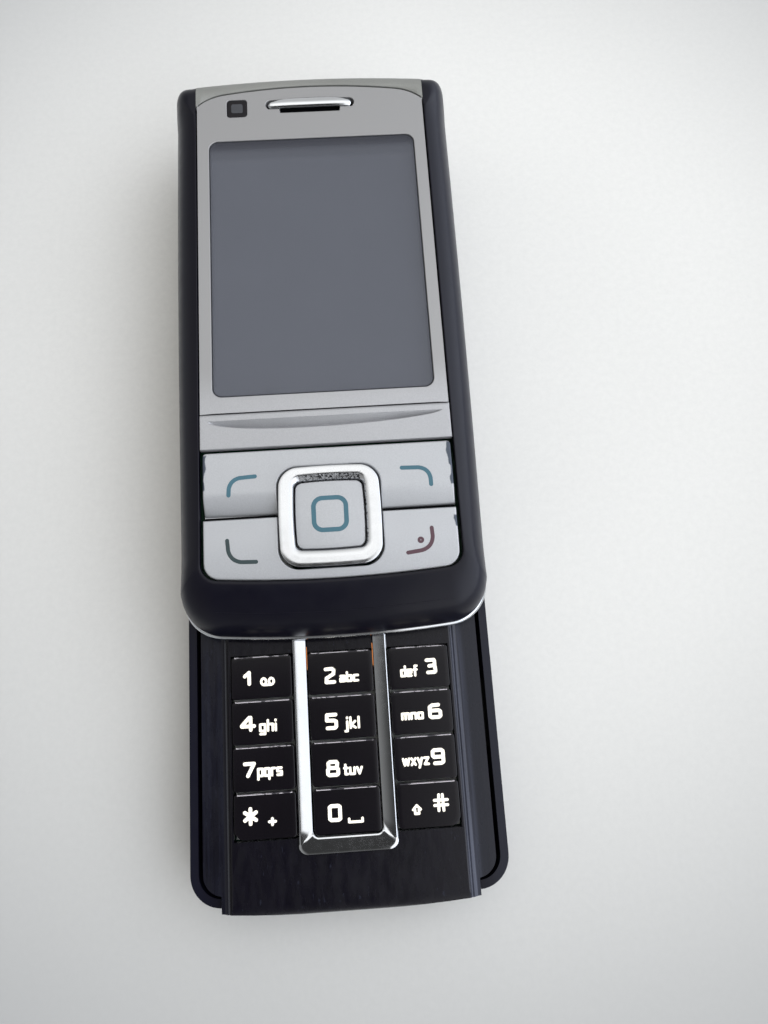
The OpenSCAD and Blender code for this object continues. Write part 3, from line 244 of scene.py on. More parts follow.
def finish(name, colour, roughness=0.4, metallic=0.0, coat=0.0, coat_rough=0.1, vary=0.06, vary_scale=60,
           grain=0.0, grain_scale=4000, bump=0.0, bump_scale=2000, bump_mm=0.01, wear=0.0, wear_colour=None,
           wear_scale=300, stretch=(1, 1, 1), rough_vary=0.0, specular=0.5, ior=1.45, emission=None, glow=0.0,
           alpha=1.0):
    """Principled shader with a slow colour drift, a fine grain, specks of wear and a small bump."""
    material = bpy.data.materials.new(name)
    material.use_nodes = True
    tree = material.node_tree
    shader = tree.nodes["Principled BSDF"]
    link = tree.links.new
    place = tree.nodes.new("ShaderNodeTexCoord")
    stretch_node = tree.nodes.new("ShaderNodeMapping")
    stretch_node.inputs["Scale"].default_value = stretch
    link(place.outputs["Object"], stretch_node.inputs["Vector"])

    def noise(scale, detail=3.0, rough=0.55):
        n = tree.nodes.new("ShaderNodeTexNoise")
        n.inputs["Scale"].default_value = scale
        n.inputs["Detail"].default_value = detail
        n.inputs["Roughness"].default_value = rough
        link(stretch_node.outputs["Vector"], n.inputs["Vector"])
        return n.outputs["Fac"]

    def ramp(value, lo, hi, out_lo, out_hi):
        m = tree.nodes.new("ShaderNodeMapRange")
        m.inputs["From Min"].default_value = lo
        m.inputs["From Max"].default_value = hi
        m.inputs["To Min"].default_value = out_lo
        m.inputs["To Max"].default_value = out_hi
        link(value, m.inputs["Value"])
        return m.outputs["Result"]

    def mix(kind, factor, a, b):
        m = tree.nodes.new("ShaderNodeMix")
        m.data_type = "RGBA"
        m.blend_type = kind
        for socket, value in ((m.inputs["Factor"], factor), (m.inputs[6], a), (m.inputs[7], b)):
            if hasattr(value, "is_linked") or hasattr(value, "links"):
                link(value, socket)
            else:
                socket.default_value = value
        return m.outputs[2]

    def shaded(base, pattern, amount):
        """The colour times a grey that swings by the amount."""
        shade = tree.nodes.new("ShaderNodeCombineColor")
        level = ramp(pattern, 0.3, 0.7, 1 - amount, 1 + amount)
        for i in range(3):
            link(level, shade.inputs[i])
        return mix("MULTIPLY", 1.0, base, shade.outputs["Color"])

    base = mix("MULTIPLY", 1.0, colour, (1, 1, 1, 1))
    if vary:
        base = shaded(base, noise(vary_scale), vary)
    if grain:
        base = shaded(base, noise(grain_scale, 2.0, 0.7), grain)
    if wear:
        spots = ramp(noise(wear_scale, 6.0, 0.7), 1 - wear - 0.02, 1 - wear + 0.02, 0.0, 1.0)
        base = mix("MIX", spots, base, wear_colour or (0.3, 0.3, 0.3, 1))
    link(base, shader.inputs["Base Color"])
    shader.inputs["Metallic"].default_value = metallic
    shader.inputs["Coat Weight"].default_value = coat
    shader.inputs["Coat Roughness"].default_value = coat_rough
    shader.inputs["Specular IOR Level"].default_value = specular
    shader.inputs["IOR"].default_value = ior
    shader.inputs["Alpha"].default_value = alpha
    if rough_vary:
        link(ramp(noise(vary_scale * 6), 0.3, 0.7, roughness - rough_vary, roughness + rough_vary),
             shader.inputs["Roughness"])
    else:
        shader.inputs["Roughness"].default_value = roughness
    if bump:
        relief = tree.nodes.new("ShaderNodeBump")
        relief.inputs["Strength"].default_value = bump
        relief.inputs["Distance"].default_value = bump_mm / 1000
        link(noise(bump_scale, 3.0, 0.6), relief.inputs["Height"])
        link(relief.outputs["Normal"], shader.inputs["Normal"])
    if emission:
        shader.inputs["Emission Color"].default_value = emission
        shader.inputs["Emission Strength"].default_value = glow
    return material


def paint_over(material, share, colour):
    """Mixes a colour over a finish, by a share that comes from another node."""
    tree = material.node_tree
    shader = tree.nodes["Principled BSDF"]
    paint = tree.nodes.new("ShaderNodeMix")
    paint.data_type = "RGBA"
    tree.links.new(share, paint.inputs["Factor"])
    tree.links.new(shader.inputs["Base Color"].links[0].from_socket, paint.inputs[6])
    paint.inputs[7].default_value = colour
    tree.links.new(paint.outputs[2], shader.inputs["Base Color"])


# %% The finishes of this phone
PLUM = finish("plum_paint", srgb(11, 10, 22), roughness=0.34, coat=0.08, coat_rough=0.1, vary=0.12,
              vary_scale=90, bump=0.12, bump_scale=1500, bump_mm=0.01, wear=0.25,
              wear_colour=srgb(84, 86, 100), wear_scale=900, rough_vary=0.04, specular=0.22)
DECK = finish("keypad_plum", srgb(11, 9, 18), roughness=0.27, coat=0.0, coat_rough=0.3, vary=0.15,
              vary_scale=140, grain=0.2, grain_scale=2500, bump=0.3, bump_scale=2500, bump_mm=0.012,
              wear=0.36, wear_colour=srgb(30, 31, 42), wear_scale=1500, stretch=(1, 0.3, 1), rough_vary=0.06,
              specular=0.34)
FACE = finish("face_silver", srgb(176, 176, 178), roughness=0.4, metallic=0.55, vary=0.03, vary_scale=50,
              grain=0.07, grain_scale=6500, bump=0.25, bump_scale=7000, bump_mm=0.006)
KEY_SILVER = finish("key_silver", srgb(187, 188, 190), roughness=0.42, metallic=0.45, vary=0.03,
                    vary_scale=60, grain=0.07, grain_scale=6500, bump=0.25, bump_scale=7000, bump_mm=0.006)
CAP = finish("cap_silver", srgb(143, 143, 138), roughness=0.5, metallic=0.3, vary=0.06, vary_scale=90,
             grain=0.08, grain_scale=6500, bump=0.25, bump_scale=6000, bump_mm=0.006)
CHROME = finish("chrome", (0.6, 0.615, 0.64, 1), roughness=0.1, metallic=1.0, vary=0.04, vary_scale=150,
                bump=0.06, bump_scale=900, bump_mm=0.01, rough_vary=0.03)
SATIN = finish("satin_chrome", (0.585, 0.595, 0.612, 1), roughness=0.16, metallic=1.0, vary=0.03,
               vary_scale=120, grain=0.03, grain_scale=5000, bump=0.1, bump_scale=4000, bump_mm=0.004,
               rough_vary=0.03)
# chrome with dark grainy specks for the ring's inner edge: painted shade and dark reflection, broken up like
# wear
CHROME_WEAR_AND_SHADE = finish("chrome_wear_and_painted_shade", (0.6, 0.61, 0.63, 1), roughness=0.25, metallic=0.9, vary=0.1,
                     vary_scale=500, wear=0.47, wear_colour=(0.05, 0.05, 0.055, 1), wear_scale=2600, bump=0.5,
                     bump_scale=5000, bump_mm=0.015, rough_vary=0.08)
KEY_BLACK = finish("black_gloss", srgb(15, 12, 17), roughness=0.22, coat=0.0, coat_rough=0.08, vary=0.15,
                   vary_scale=200, bump=0.1, bump_scale=1800, bump_mm=0.01, specular=0.3)
# near black, for the key-mat strip in the bars' gap: painted shade
GAP_SHADE = finish("gap_painted_shade", srgb(6, 6, 8), roughness=0.7, vary=0.1, specular=0.1)
BLACK = finish("black_plastic", srgb(24, 24, 27), roughness=0.5, vary=0.1, grain=0.1, grain_scale=3000,
               bump=0.3, bump_scale=3000, bump_mm=0.015)
SHADOW = finish("shadow_black", srgb(8, 8, 10), roughness=0.8, vary=0.1, specular=0.1)
STEEL = finish("steel", (0.42, 0.43, 0.45, 1), roughness=0.3, metallic=1.0, vary=0.08, vary_scale=200,
               bump=0.2, bump_scale=4000, bump_mm=0.006, stretch=(6, 0.3, 1))
RAIL = finish("blackened_steel", srgb(26, 26, 32), roughness=0.38, metallic=0.4, vary=0.1, vary_scale=200,
              bump=0.15, bump_scale=3000, bump_mm=0.006, stretch=(1, 0.2, 1))
SILICONE = finish("silicone", srgb(190, 192, 188), roughness=0.6, vary=0.04, bump=0.2, bump_scale=1500,
                  bump_mm=0.01)
RUNNER = finish("runner_plastic", srgb(205, 204, 198), roughness=0.5, vary=0.03, bump=0.1, bump_scale=2500,
                bump_mm=0.006)
BOARD = finish("circuit_board", srgb(22, 70, 48), roughness=0.45, vary=0.12, vary_scale=500, grain=0.1,
               grain_scale=2500)
GOLD = finish("gold", (0.62, 0.45, 0.17, 1), roughness=0.3, metallic=1.0, vary=0.08, vary_scale=300, bump=0.1)
WRAP = finish("battery_wrap", srgb(52, 56, 66), roughness=0.45, vary=0.06, bump=0.15, bump_scale=1500,
              bump_mm=0.01)
DISPLAY = finish("display", srgb(112, 115, 124), roughness=0.4, vary=0.03, vary_scale=60, grain=0.04,
                 grain_scale=5000)
WINDOW = finish("window_glass", srgb(112, 114, 122), roughness=0.34, vary=0.02, vary_scale=80, alpha=0.45,
                specular=0.35, grain=0.03, grain_scale=6000)
LINER = finish("window_liner", srgb(38, 39, 44), roughness=0.5, vary=0.1, vary_scale=300)
TEAL = finish("sign_teal", srgb(68, 108, 121), roughness=0.5, vary=0.05, vary_scale=400, grain=0.06,
              grain_scale=5000)
GREEN = finish("sign_green", srgb(52, 66, 67), roughness=0.5, vary=0.05, vary_scale=400, grain=0.06,
               grain_scale=5000)
MAROON = finish("sign_maroon", srgb(89, 62, 70), roughness=0.5, vary=0.05, vary_scale=400, grain=0.06,
                grain_scale=5000)
LEGEND = finish("legend_white", srgb(250, 244, 228), roughness=0.5, vary=0.04, vary_scale=500,
                emission=(1.0, 0.92, 0.78, 1), glow=0.45)
# a bright line for the keys' upper edges, broken by dark specks: a painted glint
EDGE_GLINT = finish("painted_edge_glint", srgb(226, 219, 222), roughness=0.45, vary=0.1, vary_scale=900, wear=0.47,
                   wear_colour=srgb(58, 55, 62), wear_scale=900, stretch=(0.5, 1, 1), bump=0.3,
                   bump_scale=6000, bump_mm=0.01)

# %% Painted light and shade past borders: a painted shadow along the display's top, painted sheen on the keypad channels with streaks of dust, on the frame's sides and on the lower face
def shade_beyond(material, axis, start, end, tone, streaks=0.0):
    """Paints light or shade over a finish past a border: a smooth step along one axis, in millimetres on the
    object. Streaks break the change up with a noise drawn out along the phone."""
    tree = material.node_tree
    place = tree.nodes.new("ShaderNodeTexCoord")
    split = tree.nodes.new("ShaderNodeSeparateXYZ")
    tree.links.new(place.outputs["Object"], split.inputs["Vector"])
    step = tree.nodes.new("ShaderNodeMapRange")
    step.interpolation_type = "SMOOTHSTEP"
    step.inputs["From Min"].default_value = start / 1000
    step.inputs["From Max"].default_value = end / 1000
    tree.links.new(split.outputs[axis], step.inputs["Value"])
    share = step.outputs["Result"]
    if streaks:
        drawn = tree.nodes.new("ShaderNodeVectorMath")
        drawn.operation = "MULTIPLY"
        drawn.inputs[1].default_value = (1.0, 0.025, 1.0)
        tree.links.new(place.outputs["Object"], drawn.inputs[0])
        noise = tree.nodes.new("ShaderNodeTexNoise")
        noise.inputs["Scale"].default_value = 2200
        noise.inputs["Detail"].default_value = 3
        tree.links.new(drawn.outputs["Vector"], noise.inputs["Vector"])
        lines = tree.nodes.new("ShaderNodeMapRange")
        lines.inputs["From Min"].default_value = 0.35
        lines.inputs["From Max"].default_value = 0.65
        lines.inputs["To Min"].default_value = 1.0 - streaks
        tree.links.new(noise.outputs["Fac"], lines.inputs["Value"])
        both = tree.nodes.new("ShaderNodeMath")
        both.operation = "MULTIPLY"
        tree.links.new(share, both.inputs[0])
        tree.links.new(lines.outputs["Result"], both.inputs[1])
        share = both.outputs["Value"]
    paint_over(material, share, tone)


# painted shadow: the window opening's top edge shades the display and the window, painted as a dark band along
# their top
shade_beyond(DISPLAY, "Y", 66.7, 67.8, srgb(40, 41, 47))
shade_beyond(WINDOW, "Y", 66.9, 68.6, srgb(84, 85, 93))
# painted sheen on the right keypad channel: a lighter band broken by streaks of dust, and a shelf beyond it
# that stays a little lighter than the deck
shade_beyond(DECK, "X", 16.6, 17.4, srgb(64, 67, 80), streaks=0.75)
shade_beyond(DECK, "X", 17.9, 19.3, srgb(26, 27, 35), streaks=0.15)
# painted sheen on the left keypad channel, broken by streaks of dust
shade_beyond(DECK, "X", -17.0, -18.2, srgb(26, 27, 38), streaks=0.8)
# painted sheen on the frame's rolled sides and the rim below them: lighter on the right, which faces the
# bright side of the room, and a little lighter on the left
shade_beyond(PLUM, "X", 18.8, 22.4, srgb(27, 28, 39))
shade_beyond(PLUM, "X", -18.8, -22.4, srgb(18, 18, 31))
# painted light: the face is painted lighter at its lower end, next to the thumb strip, and darker from 30 mm
# up
shade_beyond(FACE, "Y", 22.0, 30.0, srgb(160, 159, 159))

# %% Every loaded solid gets its finish first
finish_of = {
    "plum_paint": PLUM, "keypad_plum": DECK, "face_silver": FACE, "key_silver": KEY_SILVER, "chrome": CHROME,
    "black_gloss": KEY_BLACK, "black_plastic": BLACK, "window_glass": WINDOW, "display": DISPLAY,
    "steel": STEEL, "blackened_steel": RAIL, "silicone": SILICONE, "runner_plastic": RUNNER,
    "circuit_board": BOARD, "gold": GOLD, "battery_wrap": WRAP}
for entry in frame["record"]["subparts"]:
    solid = nodes[entry["node"]]
    material = finish_of[entry["material_slot"]]
    if entry["node"] == "top_cap":
        material = CAP
    if solid.material_slots:
        for s in solid.material_slots:
            s.material = material
    else:
        solid.data.materials.append(material)

# %% [markdown]
# ## The front frame
#
# The dark frame is one moulding: two rails that roll over at the sides and a chin that falls away
# in front. Extruding shapes through each other leaves creases at the corners. Instead, two outlines
# are drawn with the same number of points, the outer wall and the face opening, and a quarter round
# joins each pair of points, so the roll grows smoothly from the rails to the deeper chin.

# %% Outer wall and face opening
CHIN_R, OPEN_R, TOP_R = 6.0, 2.6, 4.6
CHIN_ARC, TOP_ARC = 190.0, 225.0
OPEN_HALF = 18.9
TRIM_W = 0.38            # the chrome line stands out this far past the chin
KEYS_END = -40.5         # lower edge of the face opening on the centre line
SEAM_X = 18.9            # the cap begins here at the top end
TOP_REACH, TOP_TALL = 5.4, 2.3   # the roll over the top end: its depth, and how much taller than deep it is
TOP_END = 48.25          # where the top end's outline lies, seen from above
WALL_END, OPEN_END = 40.5, 38.0      # where the straight sides of the wall and of the opening end
CHIN_FOOT, RAIL_FOOT = 12.75, 10.2   # height of the frame's lower edge
CAP_FOOT = 12.1
RAIL_REACH = 5.0         # how deep the rails roll over at the top corners
UNCUT = 100.0            # longer than any roll, so its round isn't cut


def corner(half, bottom, big, r, n_arc, n_corner):
    """From the middle of a shallow arc, round a corner, to the side: two runs of points that meet at a
    tangent."""
    cx = half - r
    cy = bottom + big - math.sqrt((big - r) ** 2 - cx ** 2)
    tilt = math.degrees(math.asin(cx / (big - r)))
    a = np.radians(np.linspace(-90, -90 + tilt, n_arc))
    shallow = np.stack([big * np.cos(a), bottom + big + big * np.sin(a)], axis=1)
    return np.concatenate([shallow, arc(cx, cy, r, -90 + tilt, 0, n_corner)[1:]])


def top_outline(x):
    """The end of the top seen from above, a shallow arc."""
    return TOP_END - (TOP_ARC - np.sqrt(TOP_ARC ** 2 - x ** 2))


def right_half():
    """Matched points on the outer wall and the face opening, from the chin's middle to the cap's seam."""
    counts = (40, 34)        # points on the chin's arc and on its corner
    outer = corner(HALF_W, -HALF_L + TRIM_W, CHIN_ARC, CHIN_R, *counts)
    inner = corner(OPEN_HALF, KEYS_END, CHIN_ARC, OPEN_R, *counts)
    # the wall draws in at the corner, so the chrome line shows all round it
    near_chin = np.clip((-38.4 - outer[:, 1]) / 3.4, 0, 1)
    near_side = np.clip((outer[:, 0] - 14.0) / 6.0, 0, 1)
    outer[:, 0] -= TRIM_W * near_chin * near_side
    steps = np.linspace(0, 1, 30)[1:, None]
    outer_side = outer[-1] * (1 - steps) + np.array([HALF_W, WALL_END]) * steps
    inner_side = inner[-1] * (1 - steps) + np.array([OPEN_HALF, OPEN_END]) * steps
    top_cy = TOP_END - TOP_ARC + math.sqrt((TOP_ARC - TOP_R) ** 2 - (HALF_W - TOP_R) ** 2)
    top_corner = arc(HALF_W - TOP_R, top_cy, TOP_R, 0, 86.0, 22)[1:]
    outer_top = np.concatenate([line((HALF_W, WALL_END), (HALF_W, top_cy), 6)[1:], top_corner])
    outer_top = np.concatenate([outer_top, line(outer_top[-1], (SEAM_X, top_outline(SEAM_X)), 4)[1:]])
    inner_top = line((OPEN_HALF, OPEN_END), (SEAM_X, 40.1), len(outer_top) + 1)[1:]
    return np.concatenate([outer, outer_side, outer_top]), np.concatenate([inner, inner_side, inner_top])


def whole(half):
    """A line from the middle to the right, with its mirror image before it."""
    return np.concatenate([half[::-1] * MIRROR, half[1:]])


def roll(outer, inner, top_z, low_z, end_angle, lip=1.1, wall=1.4, edge=0.14, steps=22, tall=1.0,
         longest=UNCUT):
    """Closed profile at each pair of points: up the outer wall, over a round that reaches the inner point,
    down a short lip and back down inside. The round's radius is reach / (1 - cos(end angle)), and tall
    stretches the round upwards into an ellipse. Where the reach is more than the longest radius, the rest
    is flat."""
    reach = np.linalg.norm(outer - inner, axis=1)
    across = (inner - outer) / reach[:, None]
    end = np.radians(end_angle)
    radius = np.minimum(reach / (1 - np.cos(end)), longest)
    start_z = top_z - radius * np.sin(end) * tall
    rows = []

    def put(depth, z):
        rows.append(np.concatenate([outer + across * depth[:, None], z[:, None]], axis=1))

    zero = np.zeros(len(outer))
    # a tall round can start below the wall's foot, so it is cut there
    wall_top = np.maximum(start_z, low_z + 0.2)
    first = np.arcsin(np.clip((wall_top - start_z) / (radius * tall), 0, 1))
    foot = radius * (1 - np.cos(first))
    put(foot + 0.12, low_z)
    put(foot, low_z + 0.12)
    for f in (0.2, 0.45, 0.7, 0.9):
        put(foot, low_z + 0.12 + (wall_top - low_z - 0.12) * f)
    for f in np.linspace(0, 1, steps):
        a = first + (end - first) * f
        put(np.minimum(radius * (1 - np.cos(a)), reach - edge), start_z + radius * np.sin(a) * tall)
    for a in np.radians([30, 60, 90]):
        put(reach - edge + edge * math.sin(a), top_z - edge * (1 - math.cos(a)))
    put(reach, top_z - lip)
    put(np.minimum(zero + wall + 1.6, reach * 0.95), top_z - lip - 0.3)
    put(foot + wall, np.maximum(start_z - 0.8, low_z + 0.6))
    put(foot + wall, low_z)
    return np.stack(rows, axis=1)


outer, inner = [whole(half) for half in right_half()]
local_end = np.clip((inner[:, 1] + 37.2) / 4.0, 0, 1)          # 0 on the chin, 1 on the rails
near_top = np.clip((inner[:, 1] - 36.0) / 4.0, 0, 1)
end_angle = 90 - 10.4 * local_end * (1 - near_top)
top_z = np.full(len(outer), FACE_Z) - 0.08 * local_end
low_z = np.where(outer[:, 1] < -39.75, CHIN_FOOT, RAIL_FOOT)
# 0 on the rails, 1 at the cap
top_share = np.where(outer[:, 1] > 40, np.clip((22.8 - np.abs(outer[:, 0])) / 3.4, 0, 1), 0)
top_share = top_share ** 2 * (3 - 2 * top_share)
tall = 1 + (TOP_TALL - 1) * top_share
longest = np.where(outer[:, 1] > OPEN_END, RAIL_REACH + (TOP_REACH - RAIL_REACH) * top_share, UNCUT)
points, faces = swept(roll(outer, inner, top_z, low_z, end_angle, tall=tall, longest=longest))
front_frame = make_piece("front_frame_skin", points, faces, "slide", PLUM, ["front_frame"],
                         TRAVEL, sharp=50)
fix_normals(front_frame)
print("front frame points:", len(points))

# %% [markdown]
# ## The silver cap
#
# The cap rolls over the top end between the rails. It is made the same way as the frame, from the
# end's outline and the arched seam on the face, so both meet at the same height all along.

# %% Cap
def cap_seam(x, middle=42.85, big=100.0, r=5.4, drop=3.1, half=19.6):
    """Arched seam on the face: a shallow arc whose ends turn down along a quarter ellipse, r long and drop
    high."""
    y = middle - (big - np.sqrt(big ** 2 - x ** 2))
    over = np.clip(np.abs(x) - (half - r), 0, r * 0.999) / r
    return y - drop * (1 - np.sqrt(1 - over ** 2))


cap_x = np.sin(np.linspace(-math.pi / 2, math.pi / 2, 90)) * (SEAM_X - 0.03)
cap_outer = np.stack([cap_x, top_outline(cap_x)], axis=1)
cap_inner = np.stack([cap_x, cap_seam(cap_x)], axis=1)
cap_top, cap_foot, cap_turn = [np.full(len(cap_x), value) for value in (FACE_Z - 0.03, CAP_FOOT, 90.0)]
points, faces = swept(roll(cap_outer, cap_inner, cap_top, cap_foot, cap_turn, tall=TOP_TALL,
                           longest=TOP_REACH))
cap = make_piece("top_cap_skin", points, faces, "slide", CAP, ["top_cap"], TRAVEL, sharp=50)
fix_normals(cap)

# %% Power key in the top end
key_low, key_high = box_mm("power_key")
key_x = np.linspace(key_low[0], key_high[0], 40)
soft = np.clip(np.minimum(key_x - key_low[0], key_high[0] - key_x) / 0.5, 0, 1)      # 0 at both ends
proud = top_outline(key_x) - 0.06 + 0.4 * np.sqrt(1 - (1 - soft) ** 2)
round_foot = FACE_Z - TOP_REACH * TOP_TALL
half_high = (key_high[2] - key_low[2]) / 2 - 0.5 + 0.5 * np.sqrt(1 - (1 - soft) ** 2)
key_mid = (key_high[2] + key_low[2]) / 2
section = []
upper_edge = [(1.4, 1.0), (0.16, 1.0), (0.05, 0.96), (0.0, 0.86)]      # depth and share of the half height
lower_edge = [(depth, -share) for depth, share in reversed(upper_edge)]
for depth, share in [*upper_edge, (0.0, 0.0), *lower_edge]:
    height = key_mid + share * half_high
    # the end's own curve
    lean = TOP_REACH * (1 - np.sqrt(1 - ((height - round_foot) / (TOP_REACH * TOP_TALL)) ** 2))
    section.append(np.stack([key_x, proud - lean - depth, height], axis=1))
points, faces = swept(np.stack(section, axis=1))
power = make_piece("power_key_skin", points, faces, "power_key", BLACK, ["power_key"],
                   TRAVEL, sharp=40)
fix_normals(power)

# %% [markdown]
# ## The chrome line under the chin
#
# A thin plated bar follows the chin and runs up both corners. It is a small closed profile carried
# along the chin's own outline, drawn in to a point at each end.

# %% Chrome line
trim_half = corner(HALF_W, -HALF_L, CHIN_ARC, CHIN_R + 0.3, 40, 40)
trim_half = np.concatenate([trim_half, line(trim_half[-1], (HALF_W, -39.4), 8)[1:]])
trim_path = whole(trim_half)
tangent = np.gradient(trim_path, axis=0)
tangent /= np.linalg.norm(tangent, axis=1)[:, None]
inward = np.stack([-tangent[:, 1], tangent[:, 0]], axis=1)
ends = np.clip((-38.6 - trim_path[:, 1]) / 3.5, 0.12, 1) ** 0.7
profile = np.array([(0.05, 12.1), (0.0, 12.3), (0.04, 12.5), (0.14, 12.66), (0.35, 12.86), (0.62, 13.02),
                    (0.95, 13.06), (1.25, 12.95), (1.25, 12.0), (0.25, 12.0)])
TRIM_Z = 12.5            # the bar thins out towards this height
rows = []
for depth, z in profile:
    place = trim_path + inward * ((depth - 0.02) * ends)[:, None]
    level = TRIM_Z + (z - TRIM_Z) * ends
    rows.append(np.concatenate([place, level[:, None]], axis=1))
points, faces = swept(np.stack(rows, axis=1))
trim = make_piece("chin_line", points, faces, "slide", CHROME, ["chin_trim"], TRAVEL, sharp=60)
fix_normals(trim)

# %% [markdown]
# ## The face plate
#
# The silver plate is flat, with openings for the display, the earpiece and the small camera. A flat
# curve with holes, given a thickness and a fine rounded edge, makes such a plate directly.

# %% Flat plates from curves
def flat_plate(name, loops, z0, z1, edge, body, material, stands_for=(), lift=0.0):
    """A plate between z0 and z1. The first loop is its outline and the others are holes."""
    curve = bpy.data.curves.new(name, "CURVE")
    curve.dimensions = "2D"
    curve.fill_mode = "BOTH"
    curve.bevel_depth = edge / 1000
    curve.bevel_resolution = 2
    curve.extrude = max((z1 - z0) / 2 - edge, 0) / 1000
    for i, loop in enumerate(loops):
        loop = np.asarray(loop, dtype=float).copy()
        area = np.sum(loop[:, 0] * np.roll(loop[:, 1], -1) - np.roll(loop[:, 0], -1) * loop[:, 1])
        if area < 0:
            loop = loop[::-1]
        # the bevel grows the outline, so each loop starts an edge's width inside the material
        t = np.roll(loop, -1, axis=0) - np.roll(loop, 1, axis=0)
        t /= np.linalg.norm(t, axis=1)[:, None]
        n = np.stack([-t[:, 1], t[:, 0]], axis=1)
        loop = loop + n * (edge if i == 0 else -edge)
        spline = curve.splines.new("POLY")
        spline.points.add(len(loop) - 1)
        co = np.zeros((len(loop), 4))
        co[:, :2] = loop / 1000
        co[:, 1] += lift / 1000
        co[:, 3] = 1
        spline.points.foreach_set("co", co.ravel())
        spline.use_cyclic_u = True
    holder = bpy.data.objects.new(name, curve)
    bpy.context.scene.collection.objects.link(holder)
    bpy.context.view_layer.update()
    mesh = bpy.data.meshes.new_from_object(holder.evaluated_get(bpy.context.evaluated_depsgraph_get()))
    bpy.data.objects.remove(holder)
    mesh.transform(Matrix.Translation((0, 0, (z0 + z1) / 2000)))
    mesh.name = name
    piece = bpy.data.objects.new(name, mesh)
    bpy.context.scene.collection.objects.link(piece)
    mesh.materials.clear()
    mesh.materials.append(material)
    fix_normals(piece)
    mesh.polygons.foreach_set("use_smooth", np.ones(len(mesh.polygons), dtype=bool))
    mesh.set_sharp_from_angle(angle=math.radians(12))
    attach(piece, body)
    for node in stands_for:
        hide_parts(node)
    return piece


WINDOW_W, WINDOW_L, WINDOW_R = 33.6, 44.7, 1.5
WINDOW_LOW = -12.05
WINDOW_Y = WINDOW_LOW + WINDOW_L / 2
SEAM_Y = -14.75          # where the plate ends and the thumb strip begins
EAR_Y = 39.45
EYE = (-12.1, 38.85)
SEAM_GAP = 0.27          # dark line between the cap and the plate
plate_half = 18.75
top_x = np.sin(np.linspace(math.pi / 2, -math.pi / 2, 80)) * plate_half
plate_top = np.stack([top_x, cap_seam(top_x) - SEAM_GAP], axis=1)
plate = np.concatenate([line((-plate_half, SEAM_Y + 0.06), (plate_half, SEAM_Y + 0.06), 20), plate_top])
eye_hole = rounded_loop(3.35, 3.35, 0.55, 6, *EYE)
window_hole = rounded_loop(WINDOW_W, WINDOW_L, WINDOW_R, 10, 0, WINDOW_Y)
# one opening for the sound slot and the bar above it
sound_hole = np.concatenate([line((-5.0, EAR_Y - 1.75), (4.9, EAR_Y - 1.75), 8),
                             line((5.0, EAR_Y - 0.95), (7.0, EAR_Y - 0.95), 3),
                             arc(6.5, EAR_Y - 0.1, 0.85, -40, 80, 8),
                             arch(5.6, EAR_Y + 0.8, 0.25, 2, 12),
                             arc(-6.5, EAR_Y - 0.1, 0.85, 100, 220, 8),
                             line((-7.0, EAR_Y - 0.95), (-5.1, EAR_Y - 0.95), 3)])
flat_plate("face_plate", [plate, window_hole, eye_hole, sound_hole], FACE_Z - 1.0, FACE_Z, 0.09, "slide",
           FACE, ["display_bezel"], TRAVEL)

# %% [markdown]
# ## Height-field pieces
#
# Key caps are plates whose top is gently curved. Each is a grid between two boundary lines, lifted
# by a height function, with its edges rounded where they come near the boundary.

# %% Ruled slabs
def edge_steps(inner_count, rounding):
    """Positions from 0 to 1 across a strip, dense near both borders where the edge is rounded."""
    near = np.array([0, 0.06, 0.16, 0.32, 0.55, 0.8, 1.0]) * rounding
    middle = np.linspace(rounding, 1 - rounding, inner_count)[1:-1]
    return np.concatenate([near, middle, 1 - near[::-1]])


def distance_to(points, border):
    """Least distance from each point to a polyline, worked out for all its pieces at once."""
    a, b = border[:-1], border[1:]
    ab = b - a
    ap = points[:, None, :] - a[None]
    t = np.clip(np.einsum("ijk,jk->ij", ap, ab) / np.maximum((ab ** 2).sum(1), 1e-12), 0, 1)
    d = ap - ab[None] * t[..., None]
    return np.sqrt((d ** 2).sum(2).min(1))


def ruled_slab(name, near_line, far_line, height, low_z, edge, body, material, stands_for=(),
               lift=0.0, rows=26):
    """A slab between two lines with equal counts; height(x, y) gives the top, which rounds over at the
    border."""
    v = edge_steps(rows, 0.03)
    grid = near_line[:, None] * (1 - v)[None, :, None] + far_line[:, None] * v[None, :, None]
    n, m, _ = grid.shape
    flat = grid.reshape(-1, 2)
    border = np.concatenate([near_line, far_line[::-1], near_line[:1]])
    d = np.concatenate([distance_to(chunk, border) for chunk in np.array_split(flat, 8)])
    drop = np.where(d < edge, edge - np.sqrt(np.maximum(edge ** 2 - (edge - d) ** 2, 0)), 0)
    top = np.concatenate([flat, (height(flat[:, 0], flat[:, 1]) - drop)[:, None]], axis=1)
    bottom = at_height(flat, low_z)
    k = n * m
    faces = grid_faces(n, m) + grid_faces(n, m, start=k, flip=True)
    loop = np.concatenate([np.arange(m), np.arange(1, n) * m + m - 1,
                           (n - 1) * m + np.arange(m - 2, -1, -1), np.arange(n - 2, 0, -1) * m])
    nxt = np.roll(loop, -1)
    faces += np.stack([loop, loop + k, nxt + k, nxt], axis=1).tolist()
    piece = make_piece(name, np.concatenate([top, bottom]), faces, body, material, stands_for, lift)
    fix_normals(piece)
    piece.data.set_sharp_from_angle(angle=math.radians(42))
    return piece


def resample(path, n):
    """The same line with n points at equal distances, keeping its ends."""
    path = np.asarray(path)
    s = np.concatenate([[0], np.cumsum(np.linalg.norm(np.diff(path, axis=0), axis=1))])
    t = np.linspace(0, s[-1], n)
    return np.stack([np.interp(t, s, path[:, 0]), np.interp(t, s, path[:, 1])], axis=1)


# %% [markdown]
# ## Function keys
#
# Two silver bars carry the four corner keys. The upper bar rolls down towards the gap between them,
# which shows as a darker band, and the lower bar starts high again. The chrome ring sits in a notch
# that both bars share.

# %% A key finish with bare patches
BARE_TONE = srgb(44, 56, 72)


